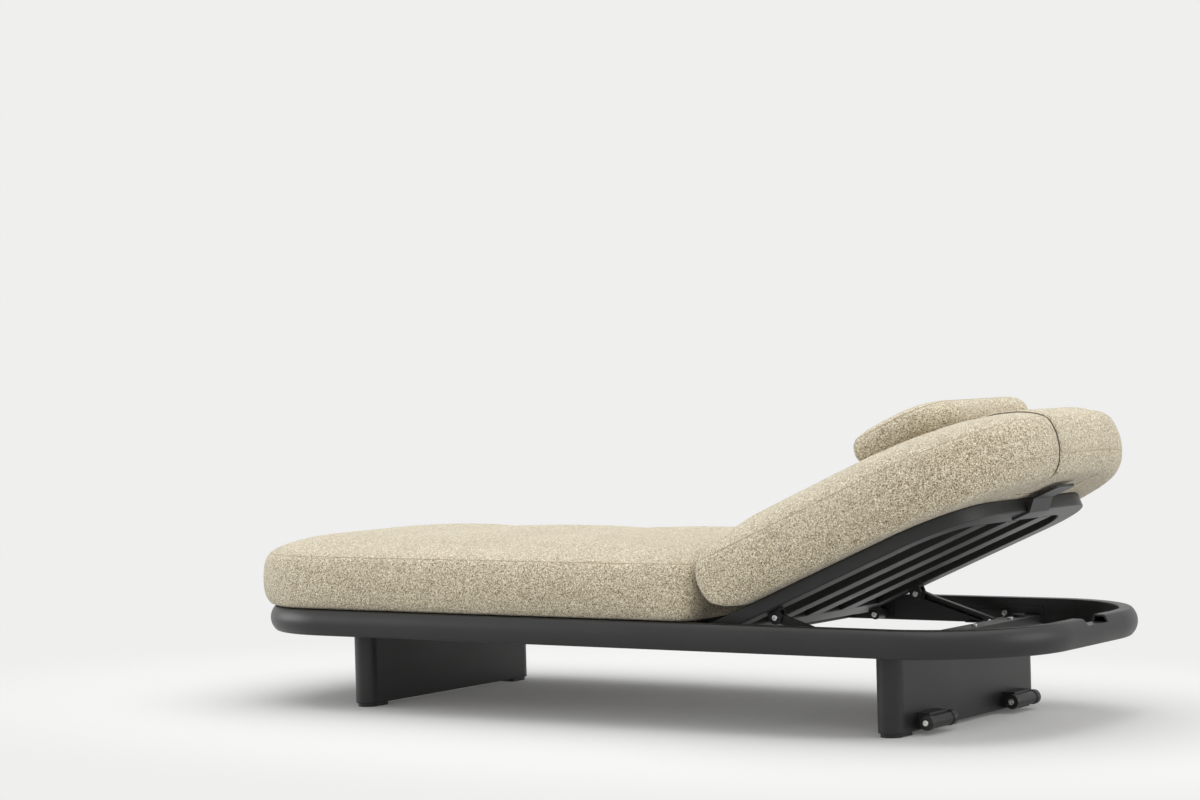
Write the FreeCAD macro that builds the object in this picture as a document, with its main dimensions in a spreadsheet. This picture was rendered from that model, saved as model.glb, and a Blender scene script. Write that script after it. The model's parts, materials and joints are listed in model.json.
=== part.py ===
import FreeCAD, Part
import math
import os
import re
import Sketcher

# A low relaxation lounger: a rounded ring frame on two panel legs, a slatted seat deck,
# a slatted backrest that tilts on two pins and is held by two struts, loose cushions
# and a pair of rollers. Lengths are in millimetres and angles in degrees.
# X runs from the foot end to the head end, Z is up, and the origin is on the floor
# under the middle of the lounger.

Vector = FreeCAD.Vector
Placement = FreeCAD.Placement
Rotation = FreeCAD.Rotation

ACROSS = Vector(0, 1, 0)
ALONG = Vector(1, 0, 0)
UP = Vector(0, 0, 1)
ORIGIN = Vector(0, 0, 0)
QUARTER_TURN = 90
HALF_TURN = 180
FULL_TURN = 360

SIZES = (
    # ring frame, a hollow profile with a bulging outer face
    ("ring_length", 2110),
    ("ring_width", 840),
    ("ring_bottom", 176),
    ("ring_height", 60),
    ("ring_depth", 40),
    ("ring_bulge", 14),
    ("ring_corner", 290),
    ("ring_wall", 4),
    ("ring_edge", 8),
    ("ring_inner_edge", 3),
    ("bow_stub", 60),
    ("sleeve_length", 100),
    ("sleeve_play", 0.1),
    ("notch_play", 2),
    ("notch_depth", 15),
    ("notch_bevel", 5),
    ("liner_thickness", 3),
    ("liner_margin", 15),
    # cross beams
    ("beam_width", 52),
    ("beam_height", 22),
    ("beam_wall", 3),
    ("beam_edge", 2),
    ("flange_thickness", 4),
    ("flange_margin", 5),
    ("flange_height", 38),
    ("middle_beam_from_head", 855),
    ("head_beam_from_head", 349),
    # panel legs
    ("foot_leg_from_foot", 348),
    ("head_leg_from_head", 343),
    ("leg_inset", 98),
    ("leg_thickness", 60),
    ("leg_wall", 4),
    ("leg_edge", 2),
    ("glide_height", 8),
    ("glide_length", 66),
    ("glide_inset", 5),
    # fasteners
    ("bolt_radius", 4),
    ("bolt_head_radius", 6.5),
    ("bolt_head_height", 4),
    ("bolt_length", 34),
    ("socket_radius", 2.8),
    ("bolt_play", 0.05),
    # slatted panels of the deck and the backrest
    ("panel_gap", 26),
    ("panel_height", 31),
    ("panel_rim", 60),
    ("panel_end", 68),
    ("panel_corner", 165),
    ("panel_wall", 3),
    ("panel_edge", 3),
    ("slat_width", 64),
    ("slat_pitch", 152),
    ("slat_edge", 2),
    ("deck_foot_gap", 42),
    ("deck_head_gap", 6),
    ("deck_pad_radius", 14),
    ("stop_gap", 0.5),
    # recline hinge
    ("hinge_from_head", 734),
    ("hinge_height", 191),
    ("rest_angle", 23.2),
    ("back_drop", 14),
    ("back_tail", 25),
    ("back_reach", 652),
    ("hinge_plate_thickness", 4),
    ("hinge_plate_length", 52),
    ("hinge_plate_height", 42),
    ("hinge_boss_radius", 12),
    ("hinge_pin_radius", 5),
    ("hinge_head_radius", 6.5),
    ("hinge_head_height", 6),
    ("hinge_lug_thickness", 17),
    ("hinge_gap", 2),
    ("hinge_washer_play", 0.3),
    ("pin_play", 0.05),
    # struts and their slotted rails
    ("strut_pivot_reach", 141.3),
    ("strut_pivot_drop", 1.1),
    ("strut_length", 196),
    ("strut_end_height", 188),
    ("strut_thickness", 14),
    ("strut_half_depth", 8.5),
    ("strut_head_radius", 10.5),
    ("strut_taper", 48),
    ("strut_web", 2.5),
    ("strut_inset", 68),
    ("ear_thickness", 4),
    ("ear_play", 1),
    ("ear_width", 30),
    ("bracket_plate", 4),
    ("pivot_radius", 4),
    ("end_pin_radius", 4),
    ("ratchet_plate", 3),
    ("ratchet_from_head", 510),
    ("ratchet_length", 127),
    ("ratchet_low_gap", 0.5),
    ("ratchet_height", 32),
    ("ratchet_step_length", 22),
    ("ratchet_step_height", 9),
    ("ledge_width", 15),
    ("ledge_thickness", 3.5),
    ("scallop_radius", 9),
    ("scallop_depth", 1.5),
    ("scallop_pitch", 24),
    ("scallop_count", 5),
    ("last_scallop_from_head", 392.4),
    ("ratchet_screw_height", 23.5),
    ("screw_length", 16),
    # lift tongue at the head end of the backrest
    ("tongue_width", 92),
    ("tongue_thickness", 5),
    ("tongue_tab", 40),
    ("tongue_run", 21),
    ("tongue_rise", 23),
    ("tongue_length", 64),
    ("tongue_corner", 16),
    # rollers on the head leg
    ("roller_offset", 30),
    ("roller_height", 27),
    ("roller_radius", 16.5),
    ("roller_width", 16),
    ("roller_edge", 2),
    ("roller_play", 1),
    ("roller_span", 114),
    ("roller_from_leg_end", 125),
    ("axle_radius", 4),
    ("housing_radius", 14.5),
    ("housing_foot", 34),
    ("housing_ridge", 5),
    # cushions
    ("seat_thickness", 164),
    ("back_thickness", 182.6),
    ("cushion_inset", 10),
    ("cushion_play", 0.3),
    ("foot_overhang", 13),
    ("seat_end_from_head", 765),
    ("cushion_gap", 1),
    ("cushion_travel_per_radian", 155),
    ("back_cushion_length", 788),
    ("back_cushion_corner", 290),
    ("seat_cushion_corner", 280),
    ("cushion_end_corner", 34),
    # head pillow and its flap
    ("pillow_length", 235),
    ("pillow_width", 440),
    ("pillow_thickness", 77),
    ("pillow_sink", 15),
    ("flap_seam", 24),
    ("pillow_corner", 52),
    ("pillow_from_head", 406),
    ("flap_width", 240),
    ("flap_thickness", 4.5),
    ("flap_tuck", 145),
    # one overrun for every cutting tool
    ("overrun", 2),
)

# Cushion outlines, from the underside up: height as a share of the thickness, then how far
# the sides, the foot end and the head end draw in. The insets of a form are shares of the
# thickness, those of a crown are shares of the half width and of the length.
SEAT_FORM_SHARES = (
    (0.000, 0.085, 0.085, 0.085),
    (0.073, 0.025, 0.025, 0.030),
    (0.275, 0.000, 0.000, 0.000),
    (0.580, 0.012, 0.012, 0.010),
    (0.762, 0.073, 0.073, 0.050),
    (0.854, 0.244, 0.244, 0.150),
    (0.921, 0.610, 0.610, 0.400),
)
SEAT_CROWN_SHARES = (
    (0.963, 0.464, 0.157, 0.121),
    (1.000, 0.732, 0.278, 0.242),
)
BACK_FORM_SHARES = (
    (0.000, 0.088, 0.410, 0.260),
    (0.069, 0.027, 0.220, 0.160),
    (0.180, 0.003, 0.066, 0.066),
    (0.354, 0.000, 0.011, 0.011),
    (0.518, 0.018, 0.000, 0.000),
    (0.688, 0.066, 0.044, 0.045),
    (0.820, 0.164, 0.150, 0.220),
    (0.912, 0.330, 0.400, 0.500),
)
BACK_CROWN_SHARES = (
    (0.967, 0.267, 0.197, 0.301),
    (1.000, 0.601, 0.371, 0.487),
)
PILLOW_FORM_SHARES = (
    (0.000, 0.270, 0.270, 0.270),
    (0.150, 0.110, 0.110, 0.110),
    (0.400, 0.000, 0.000, 0.000),
    (0.640, 0.025, 0.025, 0.025),
    (0.820, 0.180, 0.160, 0.160),
)
PILLOW_CROWN_SHARES = (
    (0.940, 0.209, 0.168, 0.168),
    (1.000, 0.397, 0.313, 0.313),
)
# The plan corner of an outline that draws in by a distance opens by this share of it,
# and stays under a share of the outline's half width and half length.
CORNER_GROWTH_SHARE = 0.45
CORNER_LIMIT_SHARE = 0.9
LEG_BOLT_SHARES = (-0.41, -0.14, 0.14, 0.41)
DECK_PAD_SHARES = (-0.45, 0.45)
SCREW_SHARES = (0.12, 0.75)

doc = FreeCAD.newDocument("Lounger")
sheet = doc.addObject("Spreadsheet::Sheet", "Sizes")
for row, (alias, value) in enumerate(SIZES, 1):
    sheet.set(f"A{row}", alias)
    sheet.set(f"B{row}", str(value))
    sheet.setAlias(f"B{row}", alias)
doc.recompute()
ALIASES = {alias for alias, value in SIZES}
nodes = []


def size(alias):
    return float(getattr(sheet, alias))


def bind(piece, prop, text):
    # A formula written with plain size names is tied to the sheet's cells.
    def cell(match):
        word = match.group()
        return f"Sizes.{word}" if word in ALIASES else word

    piece.setExpression(prop, re.sub(r"[a-z][a-z0-9_]*", cell, text))


def node(name, piece, place=None):
    piece.Label = name
    if place is not None:
        piece.Placement = place
    nodes.append((name, piece))
    return piece


def at(piece, x, y, z):
    bind(piece, "Placement.Base.x", x)
    bind(piece, "Placement.Base.y", y)
    bind(piece, "Placement.Base.z", z)
    return piece


# Part primitives, with every size and place tied to the sheet

def box(name, length, width, height, x, y, z):
    piece = doc.addObject("Part::Box", name)
    bind(piece, "Length", length)
    bind(piece, "Width", width)
    bind(piece, "Height", height)
    return at(piece, x, y, z)


def rod(name, radius, length, x, y, z, axis=UP):
    piece = doc.addObject("Part::Cylinder", name)
    bind(piece, "Radius", radius)
    bind(piece, "Height", length)
    piece.Placement = Placement(ORIGIN, Rotation(UP, axis))
    return at(piece, x, y, z)


def fused(name, pieces, refine=True):
    piece = doc.addObject("Part::MultiFuse", name)
    piece.Shapes = pieces
    piece.Refine = refine
    return piece


def cut(name, base, tools):
    tool = tools[0] if len(tools) == 1 else fused(f"{name}_tools", tools, False)
    piece = doc.addObject("Part::Cut", name)
    piece.Base = base
    piece.Tool = tool
    piece.Refine = True
    return piece


def common(name, base, tool):
    piece = doc.addObject("Part::Common", name)
    piece.Base = base
    piece.Tool = tool
    return piece


def group(name, pieces):
    piece = doc.addObject("Part::Compound", name)
    piece.Links = pieces
    return piece


def mirrored(name, source, normal, x="0"):
    piece = doc.addObject("Part::Mirroring", name)
    piece.Source = source
    piece.Normal = normal
    bind(piece, "Base.x", x)
    return piece


def rounded(name, base, radius, wanted):
    doc.recompute()
    piece = doc.addObject("Part::Fillet", name)
    piece.Base = base
    edges = enumerate(base.Shape.Edges, 1)
    piece.Edges = [(number, radius, radius) for number, edge in edges if wanted(edge)]
    return piece


def runs_along(direction):
    def wanted(edge):
        if edge.Curve.TypeId != "Part::GeomLine":
            return False
        return abs(abs(edge.tangentAt(edge.FirstParameter).dot(direction)) - 1) < 0.001

    return wanted


# Part Design bodies from outlines whose corners are tied to the sheet

SEED = 100
ROLES = {"XY": "XY_Plane", "XZ": "XZ_Plane", "YZ": "YZ_Plane"}


def sketch_on(body, name, plane, offset):
    sketch = body.newObject("Sketcher::SketchObject", name)
    planes = [item for item in body.Origin.OriginFeatures if item.Role == ROLES[plane]]
    sketch.AttachmentSupport = [(planes[0], "")]
    sketch.MapMode = "FlatFace"
    bind(sketch, "AttachmentOffset.Base.z", offset)
    return sketch


def tie_point(sketch, shape, corner, u, v, start):
    for kind, text, value in (("DistanceX", u, start.x), ("DistanceY", v, start.y)):
        number = sketch.addConstraint(Sketcher.Constraint(kind, -1, 1, shape, corner, value))
        bind(sketch, f"Constraints[{number}]", text)


def outline(sketch, points):
    count = len(points)
    turn = 2 * math.pi / count
    starts = [Vector(math.cos(turn * i), math.sin(turn * i), 0) * SEED for i in range(count)]
    first = sketch.GeometryCount
    for i in range(count):
        sketch.addGeometry(Part.LineSegment(starts[i], starts[(i + 1) % count]))
    for i in range(count):
        joint = Sketcher.Constraint("Coincident", first + i, 2, first + (i + 1) % count, 1)
        sketch.addConstraint(joint)
    for i, (u, v) in enumerate(points):
        tie_point(sketch, first + i, 1, u, v, starts[i])


def ring_line(sketch, u, v, radius):
    shape = sketch.addGeometry(Part.Circle(ORIGIN, UP, SEED))
    tie_point(sketch, shape, 3, u, v, ORIGIN)
    number = sketch.addConstraint(Sketcher.Constraint("Radius", shape, SEED))
    bind(sketch, f"Constraints[{number}]", radius)


def padded_body(name, plane, points, offset, length, holes=()):
    # The outline is padded from the offset, along +Z, +X or +Y of the body.
    body = doc.addObject("PartDesign::Body", name)
    side_view = plane == "XZ"
    sketch = sketch_on(body, f"{name}_outline", plane, f"-({offset})" if side_view else offset)
    outline(sketch, points)
    for u, v, radius in holes:
        ring_line(sketch, u, v, radius)
    pad = body.newObject("PartDesign::Pad", f"{name}_pad")
    pad.Profile = sketch
    bind(pad, "Length", length)
    pad.Reversed = side_view
    sketch.Visibility = False
    return body, pad


def round_body_edges(body, feature, radius, wanted):
    doc.recompute()
    edges = enumerate(feature.Shape.Edges, 1)
    names = [f"Edge{number}" for number, edge in edges if wanted(edge)]
    fillet = body.newObject("PartDesign::Fillet", f"{body.Name}_rounds")
    fillet.Base = (feature, names)
    bind(fillet, "Radius", radius)
    return fillet


# Places that many pieces share, as formulas

FOOT = "((foot_overhang - ring_length) / 2)"
HEAD = "((foot_overhang + ring_length) / 2)"
HALF = "(ring_width / 2)"
INSIDE = "(ring_width / 2 - ring_depth)"
RING_TOP = "(ring_bottom + ring_height)"
HINGE_X = f"({HEAD} - hinge_from_head)"
PANEL = "(ring_width - 2 * (ring_depth + panel_gap))"
LEG_SPAN = "(ring_width - 2 * leg_inset)"
STRUT_Y = "(ring_width / 2 - ring_depth - strut_inset)"
ROLLER_Y = "(ring_width / 2 - leg_inset - roller_from_leg_end)"
NOTCH = "(tongue_width + 2 * notch_play)"
BACK_TOP = "(back_drop + panel_height)"
BEAM_TOP = "(ring_bottom + beam_height)"
SIDES = (("near", -1), ("far", 1))

foot_x = (size("foot_overhang") - size("ring_length")) / 2
head_x = foot_x + size("ring_length")
hinge_x = head_x - size("hinge_from_head")
panel_width = size("ring_width") - 2 * (size("ring_depth") + size("panel_gap"))
leg_span = size("ring_width") - 2 * size("leg_inset")
strut_y = size("ring_width") / 2 - size("ring_depth") - size("strut_inset")
rest_angle = size("rest_angle")
hinge_point = Vector(hinge_x, 0, size("hinge_height"))
# Pieces of the backrest are modelled flat, from the hinge axis, and tilt with this place.
back_place = Placement(hinge_point, Rotation(-ACROSS, rest_angle))


def slab_start(sign, outer, thickness):
    # Lower Y of a slab whose outer face is a distance from the middle plane.
    return f"-({outer})" if sign < 0 else f"({outer}) - ({thickness})"


# Ring frame

def wire_through(points):
    # A closed outline: a corner that comes as three points is an arc through them.
    edges = []
    last = None
    first = None
    for item in points:
        start = item[0] if isinstance(item, tuple) else item
        if last is not None and last.distanceToPoint(start) > 1e-6:
            edges.append(Part.LineSegment(last, start).toShape())
        if first is None:
            first = start
        last = start
        if isinstance(item, tuple):
            edges.append(Part.Arc(*item).toShape())
            last = item[2]
    if last.distanceToPoint(first) > 1e-6:
        edges.append(Part.LineSegment(last, first).toShape())
    return Part.Wire(edges)


def ring_outline(inset):
    # The profile in the YZ plane, outer face towards -Y, drawn in by the inset.
    height = size("ring_height")
    middle = height / 2
    bulge = size("ring_bulge")
    radius = (bulge ** 2 + middle ** 2) / (2 * bulge)
    edge = size("ring_edge") - inset
    back_edge = max(size("ring_inner_edge") - inset, size("ring_inner_edge") / 3)
    low = inset
    high = height - inset
    deep = size("ring_depth") - inset
    rise = high - edge - middle
    edge_y = radius - math.sqrt((radius - inset - edge) ** 2 - rise ** 2)
    reach = (radius - inset) / (radius - inset - edge)
    touch_y = radius + (edge_y - radius) * reach
    touch_rise = rise * reach
    lean = math.atan2(rise, edge_y - radius)
    half_lean = (lean + math.pi / 2) / 2
    bend_y = edge_y + edge * math.cos(half_lean)
    bend_rise = rise + edge * math.sin(half_lean)
    corner = back_edge * (1 - math.sqrt(0.5))

    def spot(y, z):
        return Vector(0, y, z)

    return wire_through([
        (spot(edge_y, low), spot(bend_y, middle - bend_rise), spot(touch_y, middle - touch_rise)),
        (spot(touch_y, middle - touch_rise), spot(inset, middle), spot(touch_y, middle + touch_rise)),
        (spot(touch_y, middle + touch_rise), spot(bend_y, middle + bend_rise), spot(edge_y, high)),
        (spot(deep - back_edge, high), spot(deep - corner, high - corner), spot(deep, high - back_edge)),
        (spot(deep, low + back_edge), spot(deep - corner, low + corner), spot(deep - back_edge, low)),
    ])


def ring_profile(name, hollow, x, y, turn=0):
    face = Part.Face(ring_outline(0 if hollow else size("ring_wall") + size("sleeve_play")))
    if hollow:
        face = face.cut(Part.Face(ring_outline(size("ring_wall")))).Faces[0]
    piece = doc.addObject("Part::Feature", name)
    piece.Shape = face
    piece.Placement = Placement(ORIGIN, Rotation(UP, turn))
    return at(piece, x, y, "ring_bottom")


def drawn(name, profile, direction, length):
    piece = doc.addObject("Part::Extrusion", name)
    piece.Base = profile
    piece.DirMode = "Custom"
    piece.Dir = direction
    piece.Solid = True
    bind(piece, "LengthFwd", length)
    return piece


def ring_frame():
    joint_x = f"({HEAD} - ring_corner - bow_stub)"
    rail_start = f"({FOOT} + ring_corner + bow_stub)"
    rail_length = "ring_length - 2 * (ring_corner + bow_stub)"
    tube = drawn("rail_tube", ring_profile("rail_profile", True, rail_start, f"-{HALF}"),
                 ALONG, rail_length)
    holes = [rod(f"rail_hole_{i}", "bolt_radius + bolt_play", "ring_depth / 2",
                 f"{HEAD} - ratchet_from_head + ratchet_length * {share}",
                 f"-{INSIDE} - ring_depth / 2 + overrun",
                 "ring_bottom + ratchet_low_gap + ratchet_screw_height", ACROSS)
             for i, share in enumerate(SCREW_SHARES, 1)]
    rail = cut("near_side_rail", tube, holes)
    node("near_side_rail", rail)
    node("far_side_rail", mirrored("far_side_rail", rail, ACROSS))
    # head bow: two stubs, two bent corners and the straight end
    stub = drawn("bow_stub_near", ring_profile("stub_profile", True, joint_x, f"-{HALF}"),
                 ALONG, "bow_stub")
    corner = doc.addObject("Part::Revolution", "bow_corner_near")
    corner.Source = ring_profile("corner_profile", True, f"{HEAD} - ring_corner", f"-{HALF}")
    corner.Axis = UP
    corner.Angle = QUARTER_TURN
    bind(corner, "Base.x", f"{HEAD} - ring_corner")
    bind(corner, "Base.y", f"ring_corner - {HALF}")
    end_profile = ring_profile("end_profile", True, HEAD, f"ring_corner - {HALF}", QUARTER_TURN)
    end = drawn("bow_end", end_profile, ACROSS, "ring_width - 2 * ring_corner")
    pieces = [stub, corner, end, mirrored("bow_stub_far", stub, ACROSS),
              mirrored("bow_corner_far", corner, ACROSS)]
    bow = fused("bow_tube", pieces)
    node("foot_bow", mirrored("foot_bow", bow, ALONG, "foot_overhang / 2"))
    # lift notch in the top edge of the head bow
    notch_floor = f"{RING_TOP} - notch_depth"
    notch_top = f"{RING_TOP} + overrun"
    notch, pad = padded_body("lift_notch", "YZ", (
        (f"-{NOTCH} / 2", notch_floor),
        (f"{NOTCH} / 2", notch_floor),
        (f"{NOTCH} / 2 + notch_bevel", notch_top),
        (f"-{NOTCH} / 2 - notch_bevel", notch_top),
    ), f"{HEAD} - ring_depth - overrun", "ring_depth + 2 * overrun")
    node("head_bow", cut("head_bow", bow, [notch]))
    # plate that closes the tube below the notch
    liner_span = f"({NOTCH} + 2 * liner_margin)"
    filling_profile = ring_profile("liner_profile", False, HEAD, f"-{liner_span} / 2", QUARTER_TURN)
    filling = drawn("liner_filling", filling_profile, ACROSS, liner_span)
    layer = box("liner_layer", "ring_depth", liner_span, "liner_thickness",
                f"{HEAD} - ring_depth", f"-{liner_span} / 2", f"{notch_floor} - liner_thickness")
    node("notch_liner", common("notch_liner", filling, layer))
    # plugs inside the four tube joints
    sleeve_start = f"{joint_x} - sleeve_length / 2"
    sleeve = drawn("sleeve_1", ring_profile("sleeve_profile", False, sleeve_start, f"-{HALF}"),
                   ALONG, "sleeve_length")
    far_sleeve = mirrored("sleeve_2", sleeve, ACROSS)
    pieces = [sleeve, far_sleeve]
    for number, source in enumerate((sleeve, far_sleeve), 3):
        pieces.append(mirrored(f"sleeve_{number}", source, ALONG, "foot_overhang / 2"))
    node("rail_joint_sleeves", group("rail_joint_sleeves", pieces))


# Bolts: a round head with a hexagon socket, shank down -Z from the seat at the origin

def bolt_shape(shank_radius, shank_length, head_radius, head_height, both_ends=False):
    socket_radius = size("socket_radius")
    depth = head_height * 0.6
    edge = head_height / 4
    head = Part.makeCylinder(head_radius, head_height)
    rim = [item for item in head.Edges if abs(item.CenterOfMass.z - head_height) < edge]
    head = head.makeFillet(edge, [item for item in rim if item.Curve.TypeId == "Part::GeomCircle"])
    points = [Vector(socket_radius * math.cos(math.radians(60 * i)),
                     socket_radius * math.sin(math.radians(60 * i)),
                     head_height - depth) for i in range(7)]
    socket = Part.Face(Part.makePolygon(points)).extrude(UP * head_height)
    head = head.cut(socket)
    shank = Part.makeCylinder(shank_radius, shank_length, ORIGIN, -UP)
    parts = [shank]
    if both_ends:
        tail = head.copy()
        tail.Placement = Placement(-UP * shank_length, Rotation(ALONG, HALF_TURN))
        parts.append(tail)
    return head.multiFuse(parts).removeSplitter()


def bolt_group(name, places, shank_radius, shank_length, head_radius, head_height,
               both_ends=False, place=None):
    # places holds a seat point and the way the head faces
    shapes = []
    for point, facing in places:
        shape = bolt_shape(shank_radius, shank_length, head_radius, head_height, both_ends)
        shape.Placement = Placement(point, Rotation(UP, facing))
        shapes.append(shape)
    piece = doc.addObject("Part::Feature", name)
    piece.Shape = Part.makeCompound(shapes)
    return node(name, piece, place)


def frame_bolts(name, places, length):
    return bolt_group(name, places, size("bolt_radius"), length,
                      size("bolt_head_radius"), size("bolt_head_height"))


# Cross beams, with a welded flange at each rail

def cross_beam(name, centre, bolts_at=None):
    start = f"({centre} - beam_width / 2)"
    span = f"2 * ({INSIDE} - flange_thickness)"
    low = f"-({INSIDE} - flange_thickness)"
    solid = box(f"{name}_solid", "beam_width", span, "beam_height", start, low, "ring_bottom")
    bar = rounded(f"{name}_bar", solid, size("beam_edge"), runs_along(ACROSS))
    core = box(f"{name}_core", "beam_width - 2 * beam_wall", f"2 * {INSIDE}",
               "beam_height - 2 * beam_wall", f"{start} + beam_wall", f"-{INSIDE}",
               "ring_bottom + beam_wall")
    tube = cut(f"{name}_tube", bar, [core])
    if bolts_at:
        holes = [rod(f"{name}_hole_{i}", "bolt_radius + bolt_play",
                     "beam_height + 2 * overrun", bolts_at, f"{LEG_SPAN} * {share}",
                     "ring_bottom - overrun")
                 for i, share in enumerate(LEG_BOLT_SHARES, 1)]
        tube = cut(f"{name}_drilled", tube, holes)
    flanges = []
    for side, sign in SIDES:
        plate = box(f"{name}_{side}_plate", "beam_width + 2 * flange_margin", "flange_thickness",
                    "flange_height", f"{start} - flange_margin",
                    slab_start(sign, INSIDE, "flange_thickness"),
                    "ring_bottom + ring_inner_edge")
        flanges.append(rounded(f"{name}_{side}_flange", plate, size("beam_edge"),
                               runs_along(ACROSS)))
    node(name, group(name, [tube] + flanges))


FOOT_LEG_X = f"({FOOT} + foot_leg_from_foot)"
HEAD_LEG_X = f"({HEAD} - head_leg_from_head)"
MIDDLE_BEAM_X = f"({HEAD} - middle_beam_from_head)"
HEAD_BEAM_X = f"({HEAD} - head_beam_from_head)"
leg_places = (foot_x + size("foot_leg_from_foot"), head_x - size("head_leg_from_head"))


def cross_beams():
    cross_beam("foot_cross_beam", FOOT_LEG_X, FOOT_LEG_X)
    cross_beam("middle_cross_beam", MIDDLE_BEAM_X)
    cross_beam("head_cross_beam", HEAD_BEAM_X, HEAD_LEG_X)


# Panel legs with round ends, closed at the top by the plate that is bolted to the beam

LEG_REACH = f"({LEG_SPAN} / 2 - leg_thickness / 2)"


def leg_block(name, centre, inset, low, high):
    radius = f"(leg_thickness / 2 - {inset})"
    middle = box(f"{name}_middle", f"2 * {radius}", f"2 * {LEG_REACH}", f"({high}) - ({low})",
                 f"{centre} - {radius}", f"-{LEG_REACH}", low)
    ends = [rod(f"{name}_{side}_end", radius, f"({high}) - ({low})", centre,
                f"{sign} * {LEG_REACH}", low) for side, sign in SIDES]
    return fused(name, [middle] + ends)


def panel_leg(name, centre):
    outer = leg_block(f"{name}_outer", centre, "0", "glide_height", "ring_bottom")
    bottom_rim = rounded(f"{name}_rim", outer, size("leg_edge"),
                         lambda edge: edge.BoundBox.ZMax < size("glide_height") + 0.01)
    hollow = leg_block(f"{name}_hollow", centre, "leg_wall", "glide_height + leg_wall",
                       "ring_bottom - 2 * leg_wall")
    holes = [rod(f"{name}_hole_{i}", "bolt_radius + bolt_play", "4 * leg_wall", centre,
                 f"{LEG_SPAN} * {share}", "ring_bottom - 3 * leg_wall")
             for i, share in enumerate(LEG_BOLT_SHARES, 1)]
    node(name, cut(name, bottom_rim, [hollow] + holes))


def legs():
    glides = []
    radius = "(leg_thickness / 2 - glide_inset)"
    straight = f"(glide_length - {radius})"
    for leg, centre in (("foot", FOOT_LEG_X), ("head", HEAD_LEG_X)):
        panel_leg(f"{leg}_leg_panel", centre)
        for side, sign in SIDES:
            name = f"{leg}_{side}_glide"
            end = rod(f"{name}_end", radius, "glide_height", centre, f"{sign} * {LEG_REACH}",
                      "0")
            start = f"-{LEG_REACH}" if sign < 0 else f"{LEG_REACH} - {straight}"
            bar = box(f"{name}_bar", f"2 * {radius}", straight, "glide_height",
                      f"{centre} - {radius}", start, "0")
            glides.append(fused(name, [end, bar]))
    node("foot_glides", group("foot_glides", glides))
    top = size("ring_bottom") + size("beam_height")
    places = [(Vector(x, leg_span * share, top), UP)
              for x in leg_places for share in LEG_BOLT_SHARES]
    frame_bolts("leg_bolts", places, size("bolt_length"))


# Slatted panels: two side tubes, a bow with bent corners, an end tube and three slats

def tube(name, direction, length, width, x, y, z, edge):
    # A rounded box tube of the panel's height, open at its two ends.
    solid = box(f"{name}_solid", length, width, "panel_height", x, y, z)
    bar = rounded(f"{name}_bar", solid, size(edge), runs_along(direction))
    if direction == ALONG:
        core = box(f"{name}_core", f"{length} + 2 * overrun", f"{width} - 2 * panel_wall",
                   "panel_height - 2 * panel_wall", f"{x} - overrun", f"{y} + panel_wall",
                   f"{z} + panel_wall")
    else:
        core = box(f"{name}_core", f"{length} - 2 * panel_wall", f"{width} + 2 * overrun",
                   "panel_height - 2 * panel_wall", f"{x} + panel_wall", f"{y} - overrun",
                   f"{z} + panel_wall")
    return cut(name, bar, [core])


def rim_outline(inset):
    # A rounded rectangle in the YZ plane, outer side towards -Y.
    width = size("panel_rim")
    height = size("panel_height")
    radius = max(size("panel_edge") - inset, size("panel_edge") / 3)
    bend = radius * (1 - math.sqrt(0.5))
    low = inset
    side = width - inset
    top = height - inset

    def spot(y, z):
        return Vector(0, y, z)

    return wire_through([
        (spot(low, low + radius), spot(low + bend, low + bend), spot(low + radius, low)),
        (spot(side - radius, low), spot(side - bend, low + bend), spot(side, low + radius)),
        (spot(side, top - radius), spot(side - bend, top - bend), spot(side - radius, top)),
        (spot(low + radius, top), spot(low + bend, top - bend), spot(low, top - radius)),
    ])


def panel_bow(name, reach, bottom):
    # Bent from one tube: a corner, the straight end and the other corner.
    profile = Part.Face(rim_outline(0)).cut(Part.Face(rim_outline(size("panel_wall")))).Faces[0]
    radius = size("panel_corner")
    half = panel_width / 2
    profile.translate(Vector(reach - radius, -half, bottom))
    centre = Vector(reach - radius, radius - half, bottom)
    corner = profile.revolve(centre, UP, QUARTER_TURN)
    straight = profile.rotated(centre, UP, QUARTER_TURN)
    straight = straight.extrude(ACROSS * (2 * (half - radius)))
    other = corner.mirror(ORIGIN, ACROSS)
    piece = doc.addObject("Part::Feature", name)
    piece.Shape = corner.multiFuse([straight, other]).removeSplitter()
    return piece


def slatted_panel(prefix, start, reach, bottom, reach_value, bottom_value, place):
    for side, sign in SIDES:
        name = f"{prefix}_{side}_side"
        y = f"({slab_start(sign, f'{PANEL} / 2', 'panel_rim')})"
        node(name, tube(name, ALONG, f"({reach} - panel_corner - {start})", "panel_rim",
                        start, y, bottom, "panel_edge"), place)
    span = f"({PANEL} - 2 * panel_rim)"
    node(f"{prefix}_end_tube", tube(f"{prefix}_end_tube", ACROSS, "panel_end", span, start,
                                    f"(-{span} / 2)", bottom, "panel_edge"), place)
    node(f"{prefix}_bow", panel_bow(f"{prefix}_bow", reach_value, bottom_value), place)
    slat_start = f"({start} + panel_end)"
    slat_length = f"({reach} - panel_rim - {slat_start})"
    for number in range(3):
        name = f"{prefix}_slat_{number + 1}"
        y = f"(slat_pitch * {number - 1} - slat_width / 2)"
        node(name, tube(name, ALONG, slat_length, "slat_width", slat_start, y, bottom,
                        "slat_edge"), place)


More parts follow.
